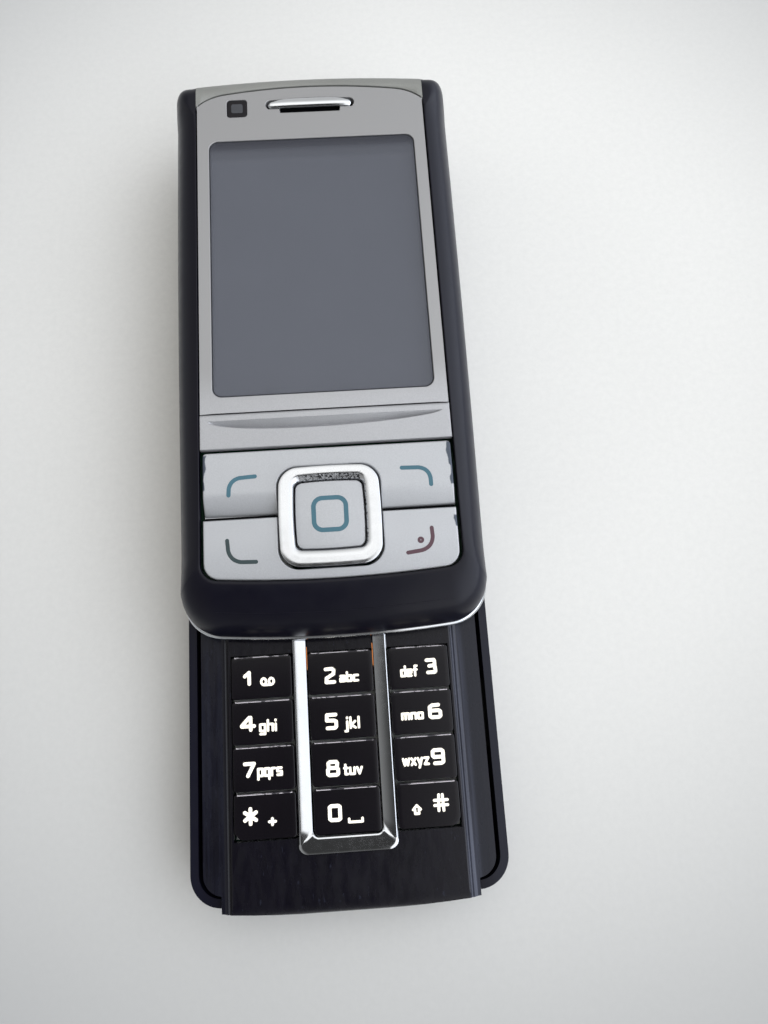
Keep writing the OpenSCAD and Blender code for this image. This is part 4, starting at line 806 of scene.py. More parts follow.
def worn_silver(name, side, reach, low, high):
    """The silver finish with the paint gone near one side of the phone. The patch's border is the distance
    from that side plus a coarse noise; it fades above and below."""
    material = KEY_SILVER.copy()
    material.name = name
    tree = material.node_tree
    link = tree.links.new
    place = tree.nodes.new("ShaderNodeTexCoord")
    split = tree.nodes.new("ShaderNodeSeparateXYZ")
    link(place.outputs["Object"], split.inputs["Vector"])
    rough = tree.nodes.new("ShaderNodeTexNoise")
    rough.inputs["Scale"].default_value = 420
    rough.inputs["Detail"].default_value = 4
    link(place.outputs["Object"], rough.inputs["Vector"])

    def number(kind, *values):
        node = tree.nodes.new("ShaderNodeMath")
        node.operation = kind
        for socket, value in zip(node.inputs, values):
            if isinstance(value, (int, float)):
                socket.default_value = value
            else:
                link(value, socket)
        return node.outputs["Value"]

    # millimetres past the border
    depth = number("MULTIPLY_ADD", split.outputs["X"], side * 1000.0, -reach)
    depth = number("ADD", depth, number("MULTIPLY_ADD", rough.outputs["Fac"], 1.6, -0.8))
    above = number("MULTIPLY_ADD", split.outputs["Y"], 1000.0, -low)
    below = number("MULTIPLY_ADD", split.outputs["Y"], -1000.0, high)
    band = number("MINIMUM", above, below)
    band = number("MULTIPLY_ADD", band, 0.5, -0.3)
    mask = number("MULTIPLY", number("MINIMUM", depth, band), 8.0)
    mask = number("MAXIMUM", number("MINIMUM", mask, 0.9), 0.0)
    paint_over(material, mask, BARE_TONE)
    return material


SOFT_WORN_LEFT = worn_silver("key_silver_worn_left", -1, 17.95, 9.6, 16.4)
SOFT_WORN_RIGHT = worn_silver("key_silver_worn_right", 1, 17.85, 8.6, 16.6)
CALL_WORN = worn_silver("call_silver_worn", 1, 17.95, 2.2, 5.3)


def by_side(piece, left, right):
    """Gives the left half of a bar one finish and the right half another."""
    mesh = piece.data
    mesh.materials.clear()
    mesh.materials.append(left)
    mesh.materials.append(right)
    mesh.polygons.foreach_set("material_index", (face_centres(mesh)[:, 0] > 0).astype(np.int32))


# %% Bars round the ring
SOFT_TOP, SOFT_LOW = -20.72, -30.32
CALL_TOP = -30.95
FIELD = 18.4             # half the width of the bars
RING_HALF = 7.45
RING_GAP = 0.19          # between the ring and the bars
NOTCH = RING_HALF + RING_GAP
NOTCH_R = 3.0
BAR_COUNTS = (60, 110)   # points on each side and on the middle of the notch and of the outline


SOFT_DOWN, CALL_DOWN = 0.12, 0.08        # how far the bars lie below the face
SOFT_ROLL, SOFT_SINK = 3.5, 1.16         # length and depth of the upper bar's rolled lower edge
SOFT_SKEW = 0.032                        # the roll gets this much shallower for each millimetre to the right
TOP_ROLL, TOP_SINK = 2.4, 0.1            # the same bar's upper edge falls a little
CALL_ROLL, CALL_SINK = 7.0, 0.55         # the lower bar's fall towards the chin


def soft_height(x, y):
    """Level in the middle, sinking with the square of the way into the lower roll, and a little at the top."""
    t = np.clip((SOFT_LOW + SOFT_ROLL - y) / SOFT_ROLL, 0, 1)
    top = np.clip((y + 23) / TOP_ROLL, 0, 1)
    return FACE_Z - SOFT_DOWN - (SOFT_SINK - SOFT_SKEW * x) * t ** 2 - TOP_SINK * top ** 2


def call_height(x, y):
    """Level at the top, falling with the square of the way towards the chin."""
    t = np.clip((CALL_TOP - 3.0 - y) / CALL_ROLL, 0, 1)
    return FACE_Z - CALL_DOWN - CALL_SINK * t ** 2


def match_sides(path_a, path_b, n_side, n_middle):
    """Resamples two three-sided lines so their corners get matching points."""
    def thirds(path):
        return np.concatenate([resample(path[0], n_side)[:-1], resample(path[1], n_middle)[:-1],
                               resample(path[2], n_side)])
    return thirds(path_a), thirds(path_b)


notch_mid = (-NOTCH + NOTCH_R, RING_Y + NOTCH - NOTCH_R)        # centre of the notch's upper left corner
side_part = arc(*notch_mid, NOTCH_R, 180, 135, 9)
top_part = arc(*notch_mid, NOTCH_R, 135, 90, 9)
notch_left = np.concatenate([line((-NOTCH, SOFT_LOW), side_part[0], 10)[:-1], side_part])
notch_top = np.concatenate([top_part, (top_part * MIRROR)[::-1]])
notch_right = (notch_left * MIRROR)[::-1]
BAR_R = 0.5              # upper corners of the softkey bar
outer_left = np.concatenate([line((-FIELD, SOFT_LOW), (-FIELD, SOFT_TOP - BAR_R), 10)[:-1],
                             arc(-FIELD + BAR_R, SOFT_TOP - BAR_R, BAR_R, 180, 90, 6)])
outer_top = line((-FIELD + BAR_R, SOFT_TOP), (FIELD - BAR_R, SOFT_TOP), 10)
outer_right = (outer_left * MIRROR)[::-1]
near_line, far_line = match_sides((notch_left, notch_top, notch_right), (outer_left, outer_top, outer_right),
                                  *BAR_COUNTS)
softkeys = ruled_slab("softkey_bar_cap", near_line, far_line, soft_height, FACE_Z - 1.7, 0.2, "softkey_bar",
                      KEY_SILVER, ["softkey_bar"], TRAVEL, rows=30)
by_side(softkeys, SOFT_WORN_LEFT, SOFT_WORN_RIGHT)
ARC_COUNT = 40
low_field = corner(FIELD, KEYS_END + 0.22, CHIN_ARC, 2.3, ARC_COUNT, 24)


def about_ring(path):
    """Mirrors a line up and down about the ring's centre."""
    return np.stack([path[:, 0], 2 * RING_Y - path[:, 1]], axis=1)


call_notch_left = about_ring(notch_left)
call_notch_left[0, 1] = CALL_TOP
call_notch_top = about_ring(notch_top)
call_notch_right = (call_notch_left * MIRROR)[::-1]
field_right = np.concatenate([low_field[ARC_COUNT - 1:], line(low_field[-1], (FIELD, CALL_TOP), 6)[1:]])
field_left = (field_right * MIRROR)[::-1]
field_bottom = np.concatenate([(low_field[:ARC_COUNT] * MIRROR)[::-1], low_field[1:ARC_COUNT]])
near_line, far_line = match_sides((call_notch_left, call_notch_top, call_notch_right),
                                  (field_left, field_bottom, field_right), *BAR_COUNTS)
callkeys = ruled_slab("call_bar_cap", near_line, far_line, call_height, FACE_Z - 1.9, 0.2, "call_bar",
                      KEY_SILVER, ["call_bar"], TRAVEL, rows=30)
by_side(callkeys, KEY_SILVER, CALL_WORN)
# the rubber of the key mat stands up in the gap between the bars, near black: a dark strip painted as the
# shade in the gap
for side, name in ((-1, "bar_gap_left"), (1, "bar_gap_right")):
    near, far = sorted((side * (FIELD - 0.1), side * (NOTCH + 0.15)))
    low, high = CALL_TOP + 0.06, SOFT_LOW - 0.06
    strip = rounded_loop(far - near, high - low, 0.1, 4, (near + far) / 2, (low + high) / 2)
    flat_plate(name, [strip], FACE_Z - 3.2, FACE_Z - 1.22, 0.05, "slide", GAP_SHADE, (), TRAVEL)


# %% Chrome ring
def loop_sweep(name, loops_and_heights, body, material, stands_for=(), lift=0.0, sharp=50):
    """Closed ring from matching loops, each with its height: the loops are the profile's points in order."""
    rows = [at_height(loop, z) for loop, z in loops_and_heights]
    points, faces = swept(np.stack(rows, axis=1), closed_path=True)
    piece = make_piece(name, points, faces, body, material, stands_for, lift, sharp)
    return fix_normals(piece)


def far_side(loop, more):
    """Moves the far side of a loop outwards by more, with a smooth step round its two corners."""
    t = np.clip((loop[:, 1] - KEY_Y - 3.2) / 1.9, 0, 1)
    return np.stack([loop[:, 0], loop[:, 1] + more * t * t * (3 - 2 * t)], axis=1)


def ring_loop(half, r, bow=0.034):
    """A rounded square whose sides bow out: each side's distance shrinks with the square of the place
    along it. The outer loops sit a little lower than the inner ones, because the band is wider below than
    above."""
    loop = rounded_loop(2 * half, 2 * half, r, 20, 0, 0, 14)
    x, y = loop[:, 0] / half, loop[:, 1] / half
    middle = KEY_Y + (RING_Y - KEY_Y) * np.clip((half - 5.2) / 2.2, 0, 1)
    return np.stack([loop[:, 0] * (1 - bow * y ** 2), middle + loop[:, 1] * (1 - bow * x ** 2)], axis=1)


RING_TOP = FACE_Z + 0.4
# the band's profile from outside to inside: half width, corner radius, depth below the top, and how much
# the far side is widened
profile = [(7.45, 2.65, 1.9, 0), (7.45, 2.65, 0.12, 0), (7.44, 2.64, 0.05, 0), (7.41, 2.62, 0.015, 0),
           (7.36, 2.58, 0, 0), (6.9, 2.35, 0, 0), (6.3, 1.95, 0, 0.15), (5.5, 1.1, 0.005, 0.5),
           (5.44, 1.05, 0.04, 0.46), (5.28, 0.94, 0.34, 0.12), (5.24, 0.92, 0.6, 0), (5.2, 0.9, 1.9, 0)]
ring_loops = [(far_side(ring_loop(half, r), more), RING_TOP - depth) for half, r, depth, more in profile]
ring = loop_sweep("navigation_ring", ring_loops, "nav_ring", SATIN, ["nav_ring"], TRAVEL)

# the band's inner edge gets dark grainy specks on its far side and on its right: painted shade and dark
# reflection of that bevel, broken up like wear
ring.data.materials.append(CHROME_WEAR_AND_SHADE)
from_key = face_centres(ring.data) * 1000 - [0, KEY_Y + TRAVEL, 0]
right_of, beyond = from_key[:, 0], from_key[:, 1]
far = (beyond > 5.0) & (beyond < 5.98) & (np.abs(right_of) < 4.7)
right = (right_of > 5.1) & (right_of < 5.42) & (np.abs(beyond) < 4.6)
ring.data.polygons.foreach_set("material_index", (far | right).astype(np.int32))


# %% Pillow pieces
def pillow(name, outline, centre, height, low_z, edge, body, material, stands_for=(), lift=0.0,
           sharp=40):
    """A closed cap inside an outline: loops shrink to the centre, the height function lifts them and the
    rim rounds over."""
    outline = np.asarray(outline)
    c = np.asarray(centre)[None]
    reach = np.linalg.norm(outline - c, axis=1).mean()
    near = 1 - np.array([0, 0.04, 0.14, 0.3, 0.52, 0.76, 1.0]) * edge / reach
    scales = np.concatenate([near, np.linspace(near[-1], 0, 9)[1:-1]])
    drops = edge - np.sqrt(np.maximum(edge ** 2 - (edge - (1 - scales) * reach) ** 2, 0))
    drops = np.where((1 - scales) * reach < edge, drops, 0)
    loops = []
    for s, d in zip(scales, drops):
        xy = c + (outline - c) * s
        loops.append(np.concatenate([xy, (height(xy[:, 0], xy[:, 1]) - d)[:, None]], axis=1))
    grid = np.stack([at_height(outline, low_z)] + loops)
    n, m, _ = grid.shape
    faces = grid_faces(n, m, wrap_columns=True)
    points = grid.reshape(-1, 3)
    tip = np.array([[c[0, 0], c[0, 1], float(height(c[:, 0], c[:, 1])[0])], [c[0, 0], c[0, 1], low_z]])
    last = (n - 1) * m
    faces += [[last + i, last + (i + 1) % m, n * m] for i in range(m)]
    faces += [[(i + 1) % m, i, n * m + 1] for i in range(m)]
    piece = make_piece(name, np.concatenate([points, tip]), faces, body, material, stands_for, lift)
    fix_normals(piece)
    piece.data.set_sharp_from_angle(angle=math.radians(sharp))
    return piece


def select_height(x, y):
    """A shallow dome over the middle key."""
    return FACE_Z + 0.02 - (x ** 2 + (y - KEY_Y) ** 2) * 0.004


pillow("select_key_cap", ring_loop(5.03, 0.95), (0, KEY_Y), select_height, FACE_Z - 2.4, 0.18, "select_key",
       KEY_SILVER, ["select_key"], TRAVEL)

# %% [markdown]
# ## The thumb strip
#
# Under the display a strip carries a long groove for the thumb. It sinks slowly from its upper edge
# and rises steeply at its lower one, so it shows a darker field above a bright line.

# %% Thumb strip
STRIP_TOP, STRIP_LOW = SEAM_Y - 0.02, -20.22


def strip_height(x, y):
    """Flat, less a groove whose width follows a long ellipse: it sinks slowly from its upper edge and
    rises steeply at its lower one."""
    wide = 2.0 * np.sqrt(np.maximum(1 - (x / 17.4) ** 2, 0)) * (1 - 0.008 * (x + 17.4))
    upper = SEAM_Y - 1.05
    t = np.where(wide > 0.02, (upper - y) / np.maximum(wide, 0.02), -1)
    inside = (t > 0) & (t < 1)
    t = np.clip(t, 0, 1)
    shape = np.where(t < 0.68, (t / 0.68) ** 0.95, ((1 - t) / 0.32) ** 1.5)
    return FACE_Z - np.where(inside, 0.9 * shape * np.minimum(wide / 1.2, 1), 0)


ys = np.concatenate([np.linspace(STRIP_LOW, STRIP_LOW + 0.3, 5)[:-1],
                     np.linspace(STRIP_LOW + 0.3, SEAM_Y - 3.1, 6)[:-1],
                     np.linspace(SEAM_Y - 3.1, SEAM_Y - 1.0, 54)[:-1],
                     np.linspace(SEAM_Y - 1.0, STRIP_TOP, 6)])
near_line = np.stack([np.full(len(ys), -plate_half), ys], axis=1)
far_line = np.stack([np.full(len(ys), plate_half), ys], axis=1)
ruled_slab("thumb_strip_top", near_line, far_line, strip_height, FACE_Z - 1.0, 0.12, "slide", FACE,
           ["thumb_strip"], TRAVEL, rows=130)

# %% [markdown]
# ## Display
#
# The window lies a little below the face and the display lies deeper still, so the opening's edge
# throws a soft shadow on it. A clear plate with a little reflection does the rest, and a shadow band painted
# along the top of the display and of the window deepens that shade.

# %% Window and display
pane = rounded_loop(WINDOW_W - 0.34, WINDOW_L - 0.34, WINDOW_R - 0.15, 10, 0, WINDOW_Y)
flat_plate("display_window_pane", [pane], FACE_Z - 0.6, FACE_Z - 0.1, 0.05, "slide", WINDOW,
           ["display_window"], TRAVEL)
liner_loops = []
for inset, depth in ((0.03, 1.85), (0.03, 0.14), (0.06, 0.1), (0.12, 0.1), (0.15, 0.14), (0.15, 1.85)):
    loop = rounded_loop(WINDOW_W - 2 * inset, WINDOW_L - 2 * inset, WINDOW_R - inset, 10, 0, WINDOW_Y)
    liner_loops.append((loop, FACE_Z - depth))
loop_sweep("display_window_liner", liner_loops, "slide", LINER, [], TRAVEL)

# %% Earpiece and camera
def bar_height(x, y):
    """A bar with an arched back: highest along its middle, falling to both long edges and to the ends."""
    return FACE_Z + 0.4 - 0.2 * ((y - EAR_Y) / 0.85) ** 2 - 0.14 * (x / 6.9) ** 4


bar_outline = np.concatenate([line((-6.65, EAR_Y - 0.88), (6.6, EAR_Y - 0.88), 30),
                              arc(6.35, EAR_Y - 0.38, 0.5, -60, 75, 8),
                              arch(6.2, EAR_Y + 0.16, 0.68, 4, 40),
                              arc(-6.4, EAR_Y - 0.38, 0.5, 105, 240, 8)])
pillow("earpiece_bar_top", bar_outline, (0, EAR_Y), bar_height, FACE_Z - 1.0, 0.2, "slide", CHROME,
       ["earpiece_bar"], TRAVEL)
flat_plate("earpiece_pocket", [rounded_loop(15.2, 4.0, 0.6, 6, 0, EAR_Y - 0.4)], FACE_Z - 1.3, FACE_Z - 1.02,
           0.03, "slide", SHADOW, [], TRAVEL)


def flat(z):
    """A height function that is the same everywhere."""
    return lambda x, y: np.full(np.shape(x), z, dtype=float)


pillow("front_camera_window", rounded_loop(3.25, 3.25, 0.5, 6, *EYE), EYE, flat(FACE_Z - 0.04), FACE_Z - 1.0,
       0.1, "slide", KEY_BLACK, ["front_camera"], TRAVEL)
EYE_GREY = finish("camera_eye_grey", srgb(50, 52, 58), roughness=0.25, vary=0.1, vary_scale=800, coat=0.5)
pillow("front_camera_eye", rounded_loop(1.9, 1.75, 0.35, 6, EYE[0], EYE[1] + 0.02), EYE, flat(FACE_Z - 0.015),
       FACE_Z - 0.08, 0.03, "slide", EYE_GREY, [], TRAVEL)

# %% [markdown]
# ## Number keys
#
# Twelve glossy black caps, each a little crowned. A fine rounded edge catches the light, and a glint
# painted on it makes the bright line between the rows.

# %% Number keys
PITCH = 6.54
KEYPAD_LOW = -39.4
KEYPAD_TOP = KEYPAD_LOW + 4 * PITCH
MID_W, SIDE_W, LEG_W, KEY_GAP = 9.7, 9.0, 2.2, 0.15
SIDE_X = MID_W / 2 + 2 * KEY_GAP + LEG_W + SIDE_W / 2
KEY_NAMES = ["key_" + sign for sign in (*"123456789", "star", "0", "hash")]


def key_place(i):
    """Middle and width of a key, counted row by row from the upper left."""
    column, row = i % 3 - 1, i // 3
    return column * SIDE_X, KEYPAD_TOP - (row + 0.5) * PITCH, (MID_W if column == 0 else SIDE_W)


def key_height(cy):
    """Crowned across the row: the top falls a little towards the key's upper and lower edge."""
    return lambda x, y: KEY_TOP - 0.03 * ((y - cy) / (PITCH / 2)) ** 2


def key_outline(w, l, radii, cx, cy):
    """A rectangle with its own radius at each corner: upper right, upper left, lower left, lower right."""
    runs = []
    for r, (sx, sy), start in zip(radii, ((1, 1), (-1, 1), (-1, -1), (1, -1)), (0, 90, 180, 270)):
        runs.append(arc(cx + sx * (w / 2 - r), cy + sy * (l / 2 - r), r, start, start + 90, 9))
    loop = np.concatenate(runs)
    return resample(np.concatenate([loop, loop[:1]]), 90)[:-1]


KEY_R, END_R = 0.45, 1.5         # the usual corner, and the two at the keypad's lower end
BOTTOM_RADII = {"key_star": (KEY_R, KEY_R, END_R, KEY_R), "key_hash": (KEY_R, KEY_R, KEY_R, END_R)}
for i, name in enumerate(KEY_NAMES):
    x, y, w = key_place(i)
    outline = key_outline(w, PITCH - 2 * KEY_GAP, BOTTOM_RADII.get(name, (KEY_R,) * 4), x, y)
    pillow(name + "_cap", outline, (x, y), key_height(y), KEY_TOP - 1.7, 0.13, name, KEY_BLACK, [name])

# %% [markdown]
# ## The keypad's chrome frame
#
# A U-shaped plated frame holds the middle column. Its top slopes towards the middle keys on each
# leg, so one leg mirrors the bright side of the room and the other the dark side.

# %% Keypad frame
LEG_IN = MID_W / 2 + KEY_GAP
FRAME_TOP = KEYPAD_TOP + 3.6
FRAME_LOW = KEYPAD_LOW - KEY_GAP
leg_high = KEY_TOP + 0.1


def u_path(x, low, r):
    """Down the left leg, round the bottom and up the right leg."""
    return np.concatenate([line((-x, FRAME_TOP), (-x, low + r), 20),
                           arc(-x + r, low + r, r, 180, 270, 10)[1:],
                           line((-x + r, low), (x - r, low), 16)[1:-1], arc(x - r, low + r, r, 270, 360, 10),
                           line((x, low + r), (x, FRAME_TOP), 20)[1:]])


# the leg's profile from outside to inside: place across the leg, corner radius, and height
profile = [(LEG_W, 1.4, leg_high - 1.6), (LEG_W, 1.4, leg_high - 0.35), (LEG_W - 0.06, 1.36, leg_high - 0.2),
           (LEG_W - 0.3, 1.2, leg_high), (LEG_W - 0.42, 1.15, leg_high), (0.3, 0.95, leg_high - 0.26),
           (0.14, 0.85, leg_high - 0.3), (0.03, 0.8, leg_high - 0.45), (0.0, 0.8, leg_high - 1.6)]
rows = []
for across, r, z in profile:
    path = u_path(LEG_IN + across, FRAME_LOW - across, r)
    # 1 on the legs, 0 on the lower bar
    on_leg = np.clip((path[:, 1] - (FRAME_LOW - across) - r * 0.6) / (r * 0.4), 0, 1)
    level = np.where(z > leg_high - 0.5, leg_high - (leg_high - z) * (0.3 + 0.7 * on_leg), z)
    rows.append(np.concatenate([path, level[:, None]], axis=1))
points, faces = swept(np.stack(rows, axis=1))
u_frame = make_piece("keypad_frame_bright", points, faces, "base", CHROME, ["keypad_frame"], 0,
                     sharp=35)
fix_normals(u_frame)

# %% [markdown]
# ## Signs on the keys
#
# The signs are thin prints. A ribbon of constant width follows a line of points, with round ends,
# and takes its height from the key it lies on.

# %% Ribbons
def ribbon(name, path, width, height, body, material, lift=0.0, rise=0.012, closed=False, caps=6):
    """A flat strip along a path. Its borders lie half a width to each side, square to the path."""
    path = np.asarray(path, dtype=float)
    if closed:
        t = np.roll(path, -1, axis=0) - np.roll(path, 1, axis=0)
    else:
        t = np.gradient(path, axis=0)
    t /= np.linalg.norm(t, axis=1)[:, None]
    n = np.stack([-t[:, 1], t[:, 0]], axis=1) * width / 2
    left, right = path + n, path - n
    if not closed:
        a = np.linspace(0, math.pi, caps * 2 + 1)[1:-1]
        start = path[0] + (np.cos(a)[:, None] * n[0] - np.sin(a)[:, None] * t[0] * width / 2)
        end = path[-1] + (np.cos(a)[:, None] * n[-1] + np.sin(a)[:, None] * t[-1] * width / 2)
        loop = np.concatenate([left, end, right[::-1], start[::-1]])
        k = len(path)
        faces = [[i, i + 1, 2 * k + len(end) - 2 - i, 2 * k + len(end) - 1 - i] for i in range(k - 1)]
        faces.append([k - 1] + list(range(k, k + len(end))) + [k + len(end)])
        faces.append([2 * k + len(end) - 1] + list(range(2 * k + len(end), len(loop))) + [0])
        xy = loop
    else:
        xy = np.concatenate([left, right])
        k = len(path)
        faces = [[i, (i + 1) % k, k + (i + 1) % k, k + i] for i in range(k)]
    z = height(xy[:, 0], xy[:, 1]) + rise
    pts = np.concatenate([xy, z[:, None]], axis=1)
    return face_up(make_piece(name, pts, faces, body, material, [], lift))


def bend(a, b, c, r, n=10):
    """From a to b to c with the corner at b rounded by r."""
    a, b, c = [np.array(v, dtype=float) for v in (a, b, c)]
    u, v = (a - b) / np.linalg.norm(a - b), (c - b) / np.linalg.norm(c - b)
    half = math.acos(np.clip(np.dot(u, v), -1, 1)) / 2
    cut = r / math.tan(half)
    t = np.linspace(0, 1, n)[:, None]
    p, q = b + u * cut, b + v * cut
    curve = (1 - t) ** 2 * p + 2 * t * (1 - t) * (b + (p + q - 2 * b) * 0.12) + t ** 2 * q
    return np.concatenate([line(a, p, 8)[:-1], curve, line(q, c, 8)[1:]])


CLOSED = np.array([0, -TRAVEL])      # takes a place on the open phone to the upper half's own
BAR_SIGNS = [            # name, three points of the hook, its corner radius, line width, bar and finish
    ("sign_left_soft", (-10.75, 12.1), (-14.5, 11.9), (-14.65, 9.45), 1.7, 0.62, "softkey_bar", TEAL),
    ("sign_right_soft", (10.9, 12.15), (15.0, 12.0), (15.05, 9.4), 1.7, 0.62, "softkey_bar", TEAL),
    ("sign_call", (-14.95, 2.7), (-14.7, -0.45), (-10.9, -0.6), 1.9, 0.58, "call_bar", GREEN),
    ("sign_end", (14.6, 2.85), (14.75, -0.15), (10.95, -0.6), 1.9, 0.58, "call_bar", MAROON),
]
BAR_HEIGHTS = {"softkey_bar": soft_height, "call_bar": call_height}
for name, *hook, radius, width, bar, material in BAR_SIGNS:
    hook = [np.array(point) + CLOSED for point in hook]
    ribbon(name, bend(*hook, radius), width, BAR_HEIGHTS[bar], bar, material, TRAVEL)
dot = arc(12.9, 1.15 - TRAVEL, 0.28, 0, 360, 13)[:-1]
ribbon("sign_end_dot", dot, 0.42, call_height, "call_bar", MAROON, TRAVEL, closed=True)
square = rounded_loop(4.72, 4.76, 1.28, 10, 0, KEY_Y + 0.05, 4)
ribbon("sign_select", square, 0.68, select_height, "select_key", TEAL, TRAVEL, closed=True)

# %% [markdown]
# ## Figures and letters
#
# The lit figures are a squarish stroke lettering: a glyph is a few straight strokes, as a plotter
# would draw it. Each stroke becomes a flat bar with round ends, so corners come out rounded where two
# strokes meet. All bars of a key are worked out together as one array.

# %% Stroke glyphs
GLYPHS = {                # each glyph: lines of points in a box one unit high
    "0": [[(0, 0.08), (0.1, 0), (0.56, 0), (0.66, 0.08), (0.66, 0.92), (0.56, 1), (0.1, 1), (0, 0.92),
           (0, 0.08)]],
    "1": [[(0, 0.68), (0.34, 1), (0.34, 0)]],
    "2": [[(0, 0.98), (0.5, 1), (0.64, 0.88), (0.6, 0.6), (0.05, 0.3), (0.02, 0), (0.66, 0)]],
    "3": [[(0, 1), (0.56, 1), (0.6, 0.9), (0.6, 0.56), (0.18, 0.52)],
          [(0.6, 0.5), (0.64, 0.1), (0.56, 0), (0.05, 0)]],
    "4": [[(0.5, 0), (0.5, 1), (0.42, 1), (0, 0.36), (0, 0.3), (0.7, 0.3)]],
    "5": [[(0.62, 1), (0.04, 1), (0.02, 0.58), (0.5, 0.56), (0.64, 0.48), (0.64, 0.1), (0.54, 0), (0.05, 0)]],
    "6": [[(0.56, 1), (0.16, 0.98), (0, 0.84), (0, 0.1), (0.1, 0), (0.56, 0), (0.66, 0.1), (0.66, 0.46),
           (0.56, 0.55), (0.04, 0.55)]],
    "7": [[(0, 1), (0.64, 1), (0.2, 0)]],
    "8": [[(0.06, 0.56), (0.04, 0.9), (0.14, 1), (0.56, 1), (0.64, 0.9), (0.6, 0.54), (0.06, 0.54)],
          [(0.06, 0.5), (0, 0.42), (0, 0.08), (0.1, 0), (0.58, 0), (0.68, 0.08), (0.68, 0.42), (0.6, 0.5)]],
    "9": [[(0.1, 0), (0.52, 0), (0.64, 0.1), (0.64, 0.9), (0.54, 1), (0.1, 1), (0, 0.9), (0, 0.58),
           (0.08, 0.48), (0.6, 0.48)]],
    "*": [[(0.42, 0), (0.42, 1)], [(0, 0.24), (0.84, 0.76)], [(0, 0.76), (0.84, 0.24)]],
    "#": [[(0.28, 0), (0.34, 1)], [(0.64, 0), (0.6, 1)], [(0, 0.66), (0.94, 0.66)],
          [(0, 0.34), (0.94, 0.34)]],
    "+": [[(0.5, 0), (0.5, 1)], [(0, 0.5), (1, 0.5)]],
    "a": [[(0.04, 0.62), (0.42, 0.6), (0.42, 0)], [(0.42, 0), (0, 0), (0, 0.32), (0.42, 0.34)]],
    "b": [[(0, 1), (0, 0), (0.42, 0), (0.42, 0.62), (0, 0.62)]],
    "c": [[(0.4, 0.62), (0, 0.62), (0, 0), (0.4, 0)]],
    "d": [[(0.42, 1), (0.42, 0), (0, 0), (0, 0.62), (0.42, 0.62)]],
    "e": [[(0, 0.32), (0.42, 0.32), (0.42, 0.62), (0, 0.62), (0, 0), (0.4, 0)]],
    "f": [[(0.34, 1), (0.14, 1), (0.14, 0)], [(0, 0.62), (0.32, 0.62)]],
    "g": [[(0.42, 0), (0, 0), (0, 0.62), (0.42, 0.62), (0.42, -0.3), (0.02, -0.3)]],
    "h": [[(0, 1), (0, 0)], [(0, 0.62), (0.42, 0.62), (0.42, 0)]],
    "i": [[(0, 0.62), (0, 0)], [(0, 0.95), (0, 1)]],
    "j": [[(0.16, 0.62), (0.16, -0.3), (0, -0.3)], [(0.16, 0.95), (0.16, 1)]],
    "k": [[(0, 1), (0, 0)], [(0.36, 0.62), (0.04, 0.3), (0.38, 0)]],
    "l": [[(0, 1), (0, 0)]],
    "m": [[(0, 0), (0, 0.62), (0.64, 0.62), (0.64, 0)], [(0.32, 0.6), (0.32, 0)]],
    "n": [[(0, 0), (0, 0.62), (0.42, 0.62), (0.42, 0)]],
    "o": [[(0, 0), (0.42, 0), (0.42, 0.62), (0, 0.62), (0, 0)]],
    "p": [[(0, -0.3), (0, 0.62), (0.42, 0.62), (0.42, 0), (0, 0)]],
    "q": [[(0.42, -0.3), (0.42, 0.62), (0, 0.62), (0, 0), (0.42, 0)]],
    "r": [[(0, 0), (0, 0.62), (0.3, 0.62)]],
    "s": [[(0.4, 0.62), (0, 0.62), (0, 0.33), (0.42, 0.3), (0.42, 0), (0, 0)]],
    "t": [[(0.12, 0.95), (0.12, 0), (0.32, 0)], [(0, 0.62), (0.32, 0.62)]],
    "u": [[(0, 0.62), (0, 0), (0.42, 0), (0.42, 0.62)]],
    "v": [[(0, 0.62), (0.22, 0), (0.44, 0.62)]],
    "w": [[(0, 0.62), (0.16, 0), (0.32, 0.58), (0.48, 0), (0.64, 0.62)]],
    "x": [[(0, 0.62), (0.42, 0)], [(0, 0), (0.42, 0.62)]],
    "y": [[(0, 0.62), (0.22, 0.05)], [(0.44, 0.62), (0.14, -0.3)]],
    "z": [[(0, 0.62), (0.42, 0.62), (0.02, 0), (0.44, 0)]],
    "tape": [arc(0.3, 0.32, 0.3, 0, 360, 13).tolist(), arc(1.25, 0.32, 0.3, 0, 360, 13).tolist(),
             [(0.3, 0), (1.25, 0)]],
    "space": [[(0, 0.5), (0, 0), (2.2, 0), (2.2, 0.5)]],
    "shift": [[(0.5, 1), (0, 0.5), (0.24, 0.46), (0.24, 0), (0.76, 0), (0.76, 0.46), (1, 0.5), (0.5, 1)]],
}


def glyph_strokes(text, place, stroke, gap=0.26):
    """The strokes of a word as rows of x0, y0, x1, y1, stretched so that their outer edges fill place =
    (x, y, width, height)."""
    signs = [text] if text in GLYPHS else list(text)
    rows, advance = [], 0.0
    for sign in signs:
        lines = [np.array(points, dtype=float) for points in GLYPHS[sign]]
        right = max(points[:, 0].max() for points in lines)
        for points in lines:
            moved = points + [advance, 0]
            rows.append(np.concatenate([moved[:-1], moved[1:]], axis=1))
        advance += right + gap
    rows = np.concatenate(rows)
    xs, ys = rows[:, 0::2], rows[:, 1::2]
    x, y, w, h = place
    rows[:, 0::2] = x + stroke / 2 + (xs - xs.min()) / max(xs.max() - xs.min(), 1e-6) * (w - stroke)
    rows[:, 1::2] = y + stroke / 2 + (ys - ys.min()) / max(ys.max() - ys.min(), 1e-6) * (h - stroke)
    return rows


